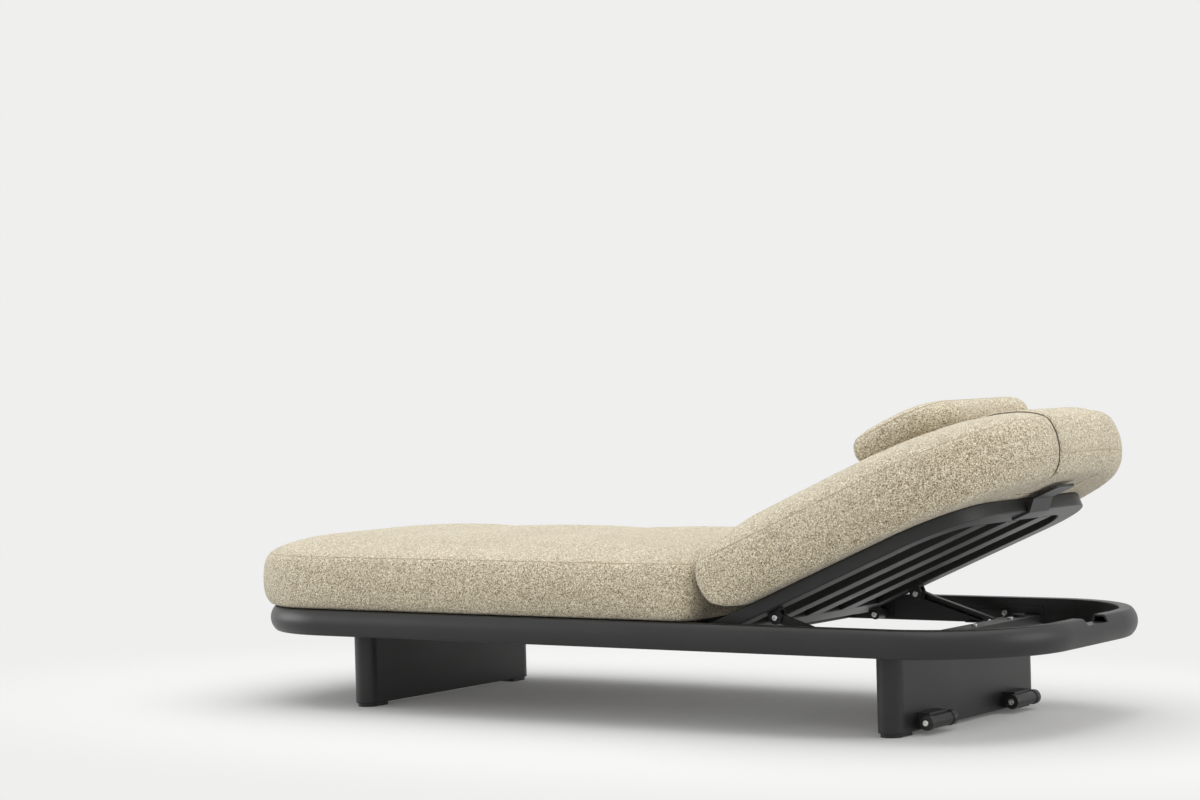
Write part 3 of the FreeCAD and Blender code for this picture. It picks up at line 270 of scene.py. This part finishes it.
def boucle():
    # looped melange yarn: curly cream loops a few millimetres long over a taupe ground, the
    # hollows between the loops coloured darker still as painted shade
    mat, nt, bsdf = material("boucle_fabric", (0.55, 0.48, 0.36), 0.92)
    coords = object_coords(nt)
    curl = noise(nt, 340.0, 1.5, 0.45, 0.7, coords)
    melange = noise(nt, 430.0, 2.0, 0.6, 1.0, coords)
    fine = noise(nt, 900.0, 2.0, 0.6, 0.8, coords)
    patches = noise(nt, 9.0, 3.0, 0.5, 0.0, coords)
    centred = math_node(nt, "SUBTRACT", curl.outputs["Fac"], 0.5)
    ridge = math_node(nt, "ABSOLUTE", centred)
    # loop tops light, the hollows between them dark: partly the yarn's own colour, partly painted
    # shade in the hollows
    loops = ramp(nt, ridge, [
        (0.0, (1.0, 0.965, 0.85)), (0.035, (0.91, 0.835, 0.655)), (0.08, (0.475, 0.395, 0.25)),
        (0.16, (0.19, 0.142, 0.072))])
    yarn = ramp(nt, melange.outputs["Fac"], [
        (0.34, (0.46, 0.40, 0.30)), (0.49, (0.88, 0.86, 0.80)), (0.58, (1.0, 1.0, 1.0))])
    shade = ramp(nt, patches.outputs["Fac"], [(0.3, grey(0.93)), (0.7, grey(1.0))])
    colour = loops
    for factor in (yarn, shade):
        mix = add_node(nt, "Mix", data_type="RGBA", blend_type="MULTIPLY")
        mix.inputs["Factor"].default_value = 1.0
        nt.links.new(colour, mix.inputs["A"])
        nt.links.new(factor, mix.inputs["B"])
        colour = mix.outputs["Result"]
    nt.links.new(colour, bsdf.inputs["Base Color"])
    height = ramp(nt, ridge, [(0.0, grey(1.0)), (0.05, grey(0.7)), (0.16, grey(0.0))])
    under = bump(nt, bsdf, fine.outputs["Fac"], 0.0006, 0.5)
    bump(nt, bsdf, height, 0.0014, 0.7, under)
    bsdf.inputs["Sheen Weight"].default_value = 0.38
    bsdf.inputs["Sheen Roughness"].default_value = 0.5
    bsdf.inputs["Specular IOR Level"].default_value = 0.15
    return mat


# the flap's dark edge tubes: painted shade along its edges, standing in for the shadow of the
# edge's thickness
def edge_shade_material():
    mat, nt, bsdf = material("flap_edge_painted_shade", (0.085, 0.07, 0.05), 0.85)
    coords = object_coords(nt)
    twill = noise(nt, 700.0, 2.0, 0.5, 0.4, coords)
    colour = ramp(nt, twill.outputs["Fac"], [
        (0.35, (0.06, 0.048, 0.034)), (0.65, (0.14, 0.115, 0.085))])
    nt.links.new(colour, bsdf.inputs["Base Color"])
    bump(nt, bsdf, twill.outputs["Fac"], 0.0005, 0.6)
    return mat


def thread_and_shade():
    # sewn line, darker than the weave: a real seam, its darker colour painted shade of the seam's
    # groove
    mat, nt, bsdf = material("seam_thread_and_painted_shade", (0.27, 0.22, 0.14), 0.9)
    coords = object_coords(nt)
    twist = noise(nt, 800.0, 2.0, 0.5, 0.3, coords)
    colour = ramp(nt, twist.outputs["Fac"], [
        (0.35, (0.32, 0.265, 0.17)), (0.65, (0.48, 0.41, 0.28))])
    nt.links.new(colour, bsdf.inputs["Base Color"])
    return mat


def powder_coat():
    # fine textured matte paint, its sheen a little uneven
    mat, nt, bsdf = material("powder_coat", (0.0145, 0.0153, 0.015), 0.42)
    coords = object_coords(nt)
    grain = noise(nt, 2200.0, 2.0, 0.6, 0.0, coords)
    cloud = noise(nt, 6.0, 4.0, 0.55, 0.0, coords)
    colour = ramp(nt, cloud.outputs["Fac"], [
        (0.3, (0.013, 0.014, 0.0135)), (0.7, (0.0165, 0.0175, 0.017))])
    nt.links.new(colour, bsdf.inputs["Base Color"])
    rough = ramp(nt, cloud.outputs["Fac"], [(0.3, grey(0.38)), (0.7, grey(0.45))])
    nt.links.new(rough, bsdf.inputs["Roughness"])
    bump(nt, bsdf, grain.outputs["Fac"], 0.00015, 0.35)
    bsdf.inputs["Specular IOR Level"].default_value = 0.4
    return mat


def stainless():
    mat, nt, bsdf = material("stainless_steel", (0.80, 0.80, 0.78), 0.24, 1.0)
    coords = object_coords(nt)
    mapping = add_node(nt, "Mapping")
    mapping.inputs["Scale"].default_value = (60.0, 900.0, 900.0)
    nt.links.new(coords, mapping.inputs["Vector"])
    lines = noise(nt, 1.0, 3.0, 0.6, 0.0, mapping.outputs["Vector"])
    rough = ramp(nt, lines.outputs["Fac"], [(0.3, grey(0.2)), (0.7, grey(0.38))])
    nt.links.new(rough, bsdf.inputs["Roughness"])
    bump(nt, bsdf, lines.outputs["Fac"], 0.0001, 0.2)
    return mat


def plain(name, base, rough, metallic=0.0):
    # moulded or mill finish: an even colour with a slight mottle and a fine grain
    mat, nt, bsdf = material(name, base, rough, metallic)
    coords = object_coords(nt)
    grain = noise(nt, 1500.0, 3.0, 0.6, 0.0, coords)
    tone = ramp(nt, noise(nt, 14.0, 3.0, 0.5, 0.0, coords).outputs["Fac"],
                [(0.3, tuple(0.86 * c for c in base)), (0.7, tuple(1.12 * c for c in base))])
    nt.links.new(tone, bsdf.inputs["Base Color"])
    bump(nt, bsdf, grain.outputs["Fac"], 0.0002, 0.3)
    return mat


fabric = boucle()
dark = edge_shade_material()
# the darker seam thread is painted shade along the seam lines
stitch_and_shade = thread_and_shade()
slots = {
    "frame": powder_coat(),
    "inner_metal": plain("plain_aluminium", (0.55, 0.55, 0.54), 0.45, 0.9),
    "stainless": stainless(),
    "black_plastic": plain("black_plastic", (0.008, 0.008, 0.008), 0.38),
    "rubber": plain("black_rubber", (0.014, 0.014, 0.014), 0.75),
    "upholstery": fabric,
}
node_slot = {item["node"]: item["material_slot"] for item in frame["record"]["subparts"]}
for name, obj in frame["nodes"].items():
    mat = slots[node_slot[name]]
    if len(obj.material_slots) == 0:
        obj.data.materials.append(mat)
    for item in obj.material_slots:
        item.material = mat

# ---- cushion forms, in metres. Heights and insets are shares of the thickness,
# from the underside up: height, sides, foot end, head end.
FOOT_X = -1.0485
HINGE = Vector((FOOT_X + 1.376, 0.0, 0.191))
TILT = math.radians(23.2)
SEAT_FORM = (
    (0.000, 0.085, 0.120, 0.085), (0.073, 0.025, 0.050, 0.030), (0.275, 0.000, 0.000, 0.000),
    (0.580, 0.012, 0.018, 0.010), (0.762, 0.073, 0.100, 0.050), (0.854, 0.200, 0.240, 0.150),
    (0.921, 0.480, 0.520, 0.400), (0.963, 0.950, 1.050, 1.000), (1.000, 1.700, 2.000, 2.000))
BACK_FORM = (
    (0.000, 0.088, 0.410, 0.260), (0.069, 0.027, 0.220, 0.160), (0.180, 0.003, 0.066, 0.066),
    (0.354, 0.000, 0.011, 0.011), (0.518, 0.018, 0.000, 0.000), (0.688, 0.066, 0.044, 0.045),
    (0.820, 0.164, 0.150, 0.220), (0.912, 0.330, 0.400, 0.500), (0.967, 0.600, 0.850, 1.300),
    (1.000, 1.350, 1.600, 2.100))
PILLOW_FORM = (
    (0.000, 0.270, 0.270, 0.270), (0.150, 0.110, 0.110, 0.110), (0.400, 0.000, 0.000, 0.000),
    (0.640, 0.010, 0.010, 0.060), (0.820, 0.080, 0.070, 0.260), (0.940, 0.300, 0.250, 0.720),
    (1.000, 0.850, 0.650, 1.300))
END_CORNER = 0.034
# where the cushions meet: the share from which the crown begins, and the gap between them
CROWN_FROM, CROWN_INSET = 0.55, 0.06
END_GAP = 0.0016
# rays that read the back cushion's surface start this far out
RAY_START = 0.4
SWEEP_RAYS, TOP_RAYS = 150, 24
# the flap: half width, its tucked length, its room under the cushion and its mesh
FLAP_HALF, FLAP_TUCK, FLAP_ROOM, FLAP_UNDER_PILLOW = 0.120, 0.145, 0.0051, 0.024
FLAP_ACROSS, FLAP_ALONG = 41, 130
# its underside and its edge off the cushion, and how much thicker its middle is
FLAP_LIFT, FLAP_EDGE, FLAP_PUFF = 0.0006, 0.0012, 0.0036
# radii of the dark edge tubes, painted shade along the flap's sides and its tucked end
EDGE_SHADE_RADIUS, HEM_SHADE_RADIUS = 0.0015, 0.0019
PILLOW_LIFT = 0.0008
# the covers start this much smaller, because they swell
SLACK = 0.0022
RING_TOP = 0.236
PLAY = 0.0003
# heights of the sewn seams, as shares of the thickness
SEAT_SEAM, SEAT_LOW_SEAM, SEAT_LOW_GROOVE = 0.762, 0.075, 0.07
BACK_SEAM, MIDDLE_SEAM = 0.688, 0.21
PILLOW_SEAM = 0.80
SEAM_DEPTH, LOW_SEAM_DEPTH = 0.0016, 0.0012
# shallow dips across the seat: place along it, depth and half width
SEAT_DIPS = ((-0.648, 0.0045, 0.075), (-0.253, 0.005, 0.085), (0.09, 0.003, 0.07))


def back_world(points):
    p = np.asarray(points, float)
    c, s = math.cos(TILT), math.sin(TILT)
    return np.stack([HINGE.x + p[:, 0] * c - p[:, 2] * s, p[:, 1],
                     HINGE.z + p[:, 0] * s + p[:, 2] * c], 1)


def back_local(points):
    p = np.asarray(points, float)
    c, s = math.cos(TILT), math.sin(TILT)
    x, z = p[:, 0] - HINGE.x, p[:, 2] - HINGE.z
    return np.stack([x * c + z * s, p[:, 1], -x * s + z * c], 1)


def same(points):
    return np.asarray(points, float)


def plan(x0, x1, half, f, h, arc=14, run=12):
    # a rounded rectangle: points and outward directions
    pts, nrm = [], []
    corners = ((x0 + f, f - half, f, 180), (x1 - h, h - half, h, 270),
               (x1 - h, half - h, h, 0), (x0 + f, half - f, f, 90))
    for i, (cx, cy, r, start) in enumerate(corners):
        for j in range(arc + 1):
            a = math.radians(start + 90 * j / arc)
            pts.append((cx + r * math.cos(a), cy + r * math.sin(a)))
            nrm.append((math.cos(a), math.sin(a)))
        nx, ny, nr, ns = corners[(i + 1) % 4]
        b = math.radians(ns)
        q = (nx + nr * math.cos(b), ny + nr * math.sin(b))
        p = pts[-1]
        for j in range(1, run):
            t = j / run
            pts.append((p[0] + (q[0] - p[0]) * t, p[1] + (q[1] - p[1]) * t))
            nrm.append(nrm[-1])
    return np.array(pts), np.array(nrm)


def smooth_table(form, steps=6):
    tab = np.array(form)
    pad = np.vstack([2 * tab[0] - tab[1], tab, 2 * tab[-1] - tab[-2]])
    rows = []
    for i in range(len(tab) - 1):
        a, b, c, d = pad[i:i + 4]
        for j in range(steps):
            t = j / steps
            rows.append(0.5 * (2 * b + (c - a) * t + (2 * a - 5 * b + 4 * c - d) * t * t
                               + (3 * b - a - 3 * c + d) * t ** 3))
    rows.append(tab[-1])
    rows = np.array(rows)
    rows[:, 0] = np.maximum.accumulate(rows[:, 0])
    return rows


def outline_at(row, x0, x1, half, thick, f, h):
    height, sides, foot, head = row
    inset = sides * thick
    limit = min(half - inset, (x1 - x0 - (foot + head) * thick) / 2) * 0.9

    def corner(r):
        return min(max(r - inset, min(r, END_CORNER) + inset * 0.45), limit)

    return plan(x0 + foot * thick, x1 - head * thick, half - inset, corner(f), corner(h))


def form_mesh(name, form, x0, x1, half, bottom, thick, f, h, to_world, slack=0.0):
    rows = smooth_table(form)
    pts, faces = [], []
    for row in rows:
        ring, nrm = outline_at(row, x0, x1, half, thick, f, h)
        ring = ring - nrm * slack
        z = bottom + row[0] * thick
        pts += [(p[0], p[1], z) for p in ring]
    n = len(ring)
    for i in range(len(rows) - 1):
        for j in range(n):
            k = (j + 1) % n
            faces.append((i * n + j, i * n + k, (i + 1) * n + k, (i + 1) * n + j))
    faces.append(tuple(range(n - 1, -1, -1)))
    top = (len(rows) - 1) * n
    faces.append(tuple(range(top, top + n)))
    return new_mesh(name, to_world(pts), faces)


def evaluated(obj):
    deps = bpy.context.evaluated_depsgraph_get()
    mesh = bpy.data.meshes.new_from_object(obj.evaluated_get(deps))
    old = obj.data
    obj.modifiers.clear()
    obj.data = mesh
    bpy.data.meshes.remove(old)


SMOOTHING = 4


def remesh(obj, voxel):
    mod = obj.modifiers.new("voxels", "REMESH")
    mod.mode = "VOXEL"
    mod.voxel_size = voxel
    mod.use_smooth_shade = True
    soft = obj.modifiers.new("soft", "SMOOTH")
    soft.factor = 0.5
    soft.iterations = SMOOTHING
    evaluated(obj)


def coords(obj):
    out = np.empty(len(obj.data.vertices) * 3)
    obj.data.vertices.foreach_get("co", out)
    return out.reshape(-1, 3)


def set_coords(obj, points):
    obj.data.vertices.foreach_set("co", np.asarray(points, float).ravel())
    obj.data.update()


CLOTH_FRAMES = 20
CLOTH_PRESSURE = 3.0


def inflate(obj, pinned, cap):
    # cloth under pressure, held along its seams and where it rests
    start = coords(obj).copy()
    group = obj.vertex_groups.new(name="held")
    held = [int(i) for i in np.nonzero(pinned)[0]]
    group.add(held, 1.0, "REPLACE")
    mod = obj.modifiers.new("cloth", "CLOTH")
    s = mod.settings
    s.quality = 4
    s.mass = 0.25
    s.tension_stiffness = 18
    s.compression_stiffness = 12
    s.shear_stiffness = 6
    s.bending_stiffness = 0.6
    s.use_pressure = True
    s.uniform_pressure_force = CLOTH_PRESSURE
    s.vertex_group_mass = "held"
    s.effector_weights.gravity = 0
    mod.collision_settings.use_collision = False
    mod.point_cache.frame_start = 1
    mod.point_cache.frame_end = CLOTH_FRAMES
    for number in range(1, CLOTH_FRAMES + 1):
        scene.frame_set(number)
    deps = bpy.context.evaluated_depsgraph_get()
    shown = obj.evaluated_get(deps).to_mesh()
    moved = np.empty(len(shown.vertices) * 3)
    shown.vertices.foreach_get("co", moved)
    obj.evaluated_get(deps).to_mesh_clear()
    moved = moved.reshape(-1, 3)
    step = moved - start
    length = np.linalg.norm(step, axis=1)
    scale = cap * np.tanh(length / cap) / np.maximum(length, 1e-9)
    obj.modifiers.clear()
    scene.frame_set(1)
    set_coords(obj, start + step * scale[:, None])


def subdivide(obj):
    mod = obj.modifiers.new("soft", "SUBSURF")
    mod.levels = mod.render_levels = 1
    evaluated(obj)
    obj.data.polygons.foreach_set("use_smooth", [True] * len(obj.data.polygons))


def tree(obj):
    mesh = obj.data
    return BVHTree.FromPolygons([v.co for v in mesh.vertices], [p.vertices for p in mesh.polygons])


TUBE_SIDES = 8


def tube(name, path, radius, closed=True):
    # a thin welt along a path of points
    sides = TUBE_SIDES
    path = np.asarray(path, float)
    n = len(path)
    nxt, prv = np.roll(path, -1, 0), np.roll(path, 1, 0)
    if not closed:
        nxt[-1], prv[0] = path[-1], path[0]
    tan = nxt - prv
    tan /= np.linalg.norm(tan, axis=1)[:, None]
    up = np.array([0.0, 0.0, 1.0])
    pts, faces = [], []
    for p, t in zip(path, tan):
        a = np.cross(t, up)
        if np.linalg.norm(a) < 0.05:
            a = np.cross(t, [0.0, 1.0, 0.0])
        a /= np.linalg.norm(a)
        b = np.cross(t, a)
        for k in range(sides):
            w = 2 * math.pi * k / sides
            pts.append(p + (a * math.cos(w) + b * math.sin(w)) * radius)
    for i in range(n if closed else n - 1):
        j = (i + 1) % n
        for k in range(sides):
            m = (k + 1) % sides
            faces.append((i * sides + k, i * sides + m, j * sides + m, j * sides + k))
    if not closed:
        faces.append(tuple(range(sides - 1, -1, -1)))
        faces.append(tuple(range((n - 1) * sides, n * sides)))
    return new_mesh(name, pts, faces)


THREAD_RADIUS = 0.0009
THREAD_SINK = 0.0002
RAY_REACH = 0.06


def seam(name, surface, dims, form, share, to_world, radius=THREAD_RADIUS, since=None, mat=None):
    # thread line round a cushion at one height, laid on its surface, or only past one length
    x0, x1, half, bottom, thick, f, h = dims
    tab = np.array(form)
    row = np.array([np.interp(share, tab[:, 0], tab[:, c]) for c in range(4)])
    row[0] = share
    ring, nrm = outline_at(row, x0, x1, half, thick, f, h)
    z = bottom + share * thick
    look = tree(surface)
    path = []
    start, end = (to_world([(p[0] + v[0] * reach, p[1] + v[1] * reach, z)
                            for p, v in zip(ring, nrm)]) for reach in (RAY_REACH, -RAY_REACH))
    for a, b in zip(start, end):
        ray = Vector(b) - Vector(a)
        hit = look.ray_cast(Vector(a), ray.normalized(), ray.length)
        if hit[0] is not None:
            path.append(hit[0] + hit[1] * (radius * 0.2 - THREAD_SINK))
    if since is not None:
        path = [p for p, q in zip(path, back_local(path)) if q[0] > since]
        first = max(range(len(path)), key=lambda i: (path[i] - path[i - 1]).length)
        path = path[first:] + path[:first]
    obj = tube(name, path, radius, since is None)
    obj.data.materials.append(mat or stitch_and_shade)
    return obj


def trim(obj, body):
    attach(obj, body)


def dress(obj, body, node):
    obj.data.materials.clear()
    obj.data.materials.append(fabric)
    trim(obj, body)
    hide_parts(node)


def level(dims, share):
    # the height of a share of a cushion's thickness
    x0, x1, half, bottom, thick, f, h = dims
    return bottom + share * thick


def cover(name, form, dims, to_world, to_local, slack, voxels, seam_share, bands, cap):
    # lofted, remeshed, puffed up between where it rests and its seam, and subdivided
    obj = form_mesh(name, form, *dims, to_world, slack)
    fine_voxel, quick_voxel = voxels
    rest_band, seam_band = bands
    remesh(obj, fine_voxel)
    x0, x1, half, bottom, thick, f, h = dims
    share = (to_local(coords(obj))[:, 2] - bottom) / thick
    inflate(obj, (share < rest_band) | (np.abs(share - seam_share) < seam_band), cap)
    subdivide(obj)
    return obj


def groove(obj, to_local, height, depth, width, keep=None):
    # draws the surface in along a seam at one height
    pts = to_local(coords(obj))
    mesh = obj.data
    nrm = np.empty(len(mesh.vertices) * 3)
    mesh.vertices.foreach_get("normal", nrm)
    nrm = nrm.reshape(-1, 3)
    pull = depth * np.exp(-((pts[:, 2] - height) / width) ** 2)
    if keep is not None:
        pull = pull * keep(pts)
    set_coords(obj, coords(obj) - nrm * pull[:, None])


def press_end(points, form, column, end, bottom, thick, sign):
    # the ends that meet are pressed flat and stay clear of each other; the crown is left alone
    share = (points[:, 2] - bottom) / thick
    tab = np.array(form)
    inset = np.interp(share, tab[:, 0], tab[:, column])
    inset = np.where(share > CROWN_FROM, np.minimum(inset, CROWN_INSET), inset)
    limit = end - sign * (inset * thick + END_GAP)
    nearer = np.minimum if sign > 0 else np.maximum
    points[:, 0] = nearer(points[:, 0], limit)
    return points


# ---- seat cushion: foot end, head end, half width, underside, thickness, two plan corners
seat_dims = (FOOT_X - 0.024, FOOT_X + 1.345, 0.413, RING_TOP + PLAY, 0.164, 0.280, END_CORNER)
seat = cover("seat_cushion_cover", SEAT_FORM, seat_dims, same, same, SLACK, (0.011, 0.016),
             SEAT_SEAM, (0.03, 0.022), 0.006)
p = coords(seat)
crown = np.clip((p[:, 2] - 0.36) / 0.03, 0, 1)
for x, deep, wide in SEAT_DIPS:
    p[:, 2] -= crown * deep * np.exp(-((p[:, 0] - x - 0.04 * np.sin(3 * p[:, 1])) / wide) ** 2)
p[:, 2] = np.maximum(p[:, 2], seat_dims[3])
set_coords(seat, press_end(p, SEAT_FORM, 3, seat_dims[1], seat_dims[3], seat_dims[4], 1))
groove(seat, same, level(seat_dims, SEAT_SEAM), SEAM_DEPTH, 0.005)
groove(seat, same, level(seat_dims, SEAT_LOW_GROOVE), LOW_SEAM_DEPTH, 0.005)
dress(seat, "frame", "seat_cushion")
for share, label, mat in ((SEAT_SEAM, "upper", stitch_and_shade), (SEAT_LOW_SEAM, "lower", fabric)):
    trim(seam(f"seat_{label}_seam", seat, seat_dims, SEAT_FORM, share, same, mat=mat), "frame")

# ---- back cushion, in lengths along the backrest and heights off it, from the hinge
start_s = 1.345 - 1.376 + 0.001 + 0.155 * TILT
back_dims = (start_s - 0.006, start_s + 0.788, 0.410, 0.045 + PLAY, 0.1826, 0.020, 0.290)
back = cover("back_cushion_cover", BACK_FORM, back_dims, back_world, back_local, SLACK,
             (0.010, 0.015), BACK_SEAM, (0.03, 0.02), 0.006)
middle_from = back_dims[0] + 0.40
groove(back, back_local, level(back_dims, BACK_SEAM), SEAM_DEPTH, 0.005)
groove(back, back_local, level(back_dims, MIDDLE_SEAM), LOW_SEAM_DEPTH, 0.004,
       lambda pts: np.clip((pts[:, 0] - middle_from) / 0.08, 0, 1))
p = back_local(coords(back))
tuck = back_dims[1] - FLAP_TUCK
under = (p[:, 0] > tuck - 0.002) & (np.abs(p[:, 1]) < FLAP_HALF + 0.002)
floor_n = np.where(under, back_dims[3] + FLAP_ROOM, back_dims[3])
p[:, 2] = np.maximum(p[:, 2], floor_n)
p = press_end(p, BACK_FORM, 2, start_s, back_dims[3], back_dims[4], -1)
set_coords(back, back_world(p))
dress(back, "back_pad", "back_cushion")
for share, label, since in ((BACK_SEAM, "upper", None), (MIDDLE_SEAM, "middle", middle_from)):
    trim(seam(f"back_{label}_seam", back, back_dims, BACK_FORM, share, back_world, since=since),
         "back_pad")

# ---- head pillow, its underside resting on the crown
back_tree = tree(back)
normal_dir = Vector((-math.sin(TILT), 0.0, math.cos(TILT)))


def crown_height(s, y):
    top = Vector(back_world([(s, y, RAY_START)])[0])
    hit = back_tree.ray_cast(top, -normal_dir, 0.5)
    return None if hit[0] is None else RAY_START - (hit[0] - top).length


pillow_end = back_dims[1] - 0.406 + 0.235
pillow_low = back_dims[3] + back_dims[4] + PLAY - 0.015
pillow_dims = (pillow_end - 0.248, pillow_end, 0.229, pillow_low, 0.092, 0.034, 0.085)
pillow = cover("head_pillow_cover", PILLOW_FORM, pillow_dims, back_world, back_local, 0.001,
               (0.006, 0.009), PILLOW_SEAM, (0.05, 0.03), 0.004)
groove(pillow, back_local, level(pillow_dims, PILLOW_SEAM), SEAM_DEPTH, 0.004)
p = back_local(coords(pillow))
for i in range(len(p)):
    if p[i, 2] < pillow_low + 0.045:
        low = crown_height(p[i, 0], p[i, 1])
        if low is not None:
            p[i, 2] = max(p[i, 2], low + PILLOW_LIFT)
set_coords(pillow, back_world(p))
dress(pillow, "headrest", "head_pillow")
trim(seam("pillow_seam", pillow, pillow_dims, PILLOW_FORM, PILLOW_SEAM, back_world, 0.001),
     "headrest")

# ---- flap: a band from under the pillow, round the head end, tucked below the cushion


def flap_rays():
    # down on the crown from the pillow on, then towards a middle point, swept round the head end
    cs, cn = back_dims[1] - 0.16, back_dims[3] + 0.5 * back_dims[4]
    rays = []
    for s in np.linspace(pillow_end - FLAP_UNDER_PILLOW, cs, TOP_RAYS):
        rays.append(((s, RAY_START), (0.0, -1.0)))
    for a in np.linspace(90, -90, SWEEP_RAYS):
        c, n = math.cos(math.radians(a)), math.sin(math.radians(a))
        rays.append(((cs + RAY_START * c, cn + RAY_START * n), (-c, -n)))
    return rays


def flap_line(y):
    # the section of the back cushion at one width, smoothed
    out = []
    for (s, n), (ds, dn) in flap_rays():
        a = Vector(back_world([(s, y, n)])[0])
        b = Vector(back_world([(s + ds, y, n + dn)])[0])
        hit = back_tree.ray_cast(a, (b - a).normalized(), 0.7)
        if hit[0] is None:
            continue
        out.append(back_local([hit[0]])[0])
    out = np.array(out)
    for _ in range(6):
        out[1:-1] = (out[:-2] + 2 * out[1:-1] + out[2:]) / 4
    return out


def resample(points, count):
    seg = np.linalg.norm(np.diff(points, axis=0), axis=1)
    dist = np.concatenate([[0], np.cumsum(seg)])
    at = np.linspace(0, dist[-1], count)
    return np.stack([np.interp(at, dist, points[:, k]) for k in range(3)], 1)


def make_flap():
    across = np.linspace(-FLAP_HALF, FLAP_HALF, FLAP_ACROSS)
    along = FLAP_ALONG
    grid = []
    for y in across:
        line = flap_line(y)
        keep = (line[:, 2] > back_dims[3] + 0.02) | (line[:, 0] > tuck)
        line = resample(line[keep], along)
        grid.append(line)
    grid = np.array(grid)
    tan = np.gradient(grid, axis=1)
    side = np.gradient(grid, axis=0)
    nrm = np.cross(side, tan)
    nrm /= np.linalg.norm(nrm, axis=2)[:, :, None]
    if nrm[FLAP_ACROSS // 2, 4, 2] < 0:
        nrm = -nrm
    t = np.linspace(0, 1, along)[None, :, None]
    v = across[:, None, None] / FLAP_HALF
    ripple = 0.0006 * np.sin(9 * t + 2 * v) * (1 - v ** 2)
    edge = np.clip((1 - np.abs(v)) / 0.035, 0, 1)
    low = grid + nrm * FLAP_LIFT
    high = grid + nrm * (FLAP_EDGE + FLAP_PUFF * np.sqrt(1 - (1 - edge) ** 2) + ripple)
    middle = level(back_dims, MIDDLE_SEAM)
    beyond = grid[:, :, 0] > back_dims[1] - 0.05
    pull = 0.0010 * np.exp(-((grid[:, :, 2] - middle) / 0.004) ** 2) * beyond
    high -= nrm * pull[:, :, None]
    for layer in (low, high):
        layer[:, :, 2] = np.where(layer[:, :, 2] < back_dims[3] + 0.0002,
                                  back_dims[3] + 0.0002, layer[:, :, 2])
    m = len(across)
    pts = np.concatenate([low.reshape(-1, 3), high.reshape(-1, 3)])
    faces = []

    def at(layer, i, j):
        return layer * m * along + i * along + j

    for i in range(m - 1):
        for j in range(along - 1):
            faces.append((at(0, i, j), at(0, i, j + 1), at(0, i + 1, j + 1), at(0, i + 1, j)))
            faces.append((at(1, i, j), at(1, i + 1, j), at(1, i + 1, j + 1), at(1, i, j + 1)))
    for i in range(m - 1):
        faces.append((at(0, i, 0), at(0, i + 1, 0), at(1, i + 1, 0), at(1, i, 0)))
        faces.append((at(0, i + 1, along - 1), at(0, i, along - 1), at(1, i, along - 1),
                      at(1, i + 1, along - 1)))
    for j in range(along - 1):
        faces.append((at(0, 0, j + 1), at(0, 0, j), at(1, 0, j), at(1, 0, j + 1)))
        faces.append((at(0, m - 1, j), at(0, m - 1, j + 1), at(1, m - 1, j + 1), at(1, m - 1, j)))
    obj = new_mesh("pillow_flap_band", back_world(pts), faces)
    # dark tubes of painted shade along both edges and, below, along the tucked end
    edges = []
    for i, label in ((0, "near"), (m - 1, "far")):
        path = high[i] - nrm[i] * 0.0002
        path[:, 1] += 0.0006 * (-1 if i == 0 else 1)
        path[:, 2] = np.maximum(path[:, 2], back_dims[3] + 0.0016)
        edge_obj = tube(f"flap_binding_{label}", back_world(path), EDGE_SHADE_RADIUS, False)
        edge_obj.data.materials.append(dark)
        edges.append(edge_obj)
    past = np.where(beyond, np.abs(grid[:, :, 2] - middle), 9.0)
    line = [high[i, past[i].argmin()] for i in range(1, m - 1)]
    edge_obj = tube("flap_middle_seam", back_world(line), THREAD_RADIUS, False)
    edge_obj.data.materials.append(stitch_and_shade)
    edges.append(edge_obj)
    hem = high[:, -1].copy()
    hem[:, 2] = np.maximum(hem[:, 2], back_dims[3] + 0.0018)
    edge_obj = tube("flap_binding_hem", back_world(hem), HEM_SHADE_RADIUS, False)
    edge_obj.data.materials.append(dark)
    edges.append(edge_obj)
    return obj, edges


flap, flap_edges = make_flap()
flap.data.materials.append(fabric)
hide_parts("pillow_flap")
# the flap and its tubes are baked into world coordinates
for item in [flap] + flap_edges:
    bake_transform(item)

low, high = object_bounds()
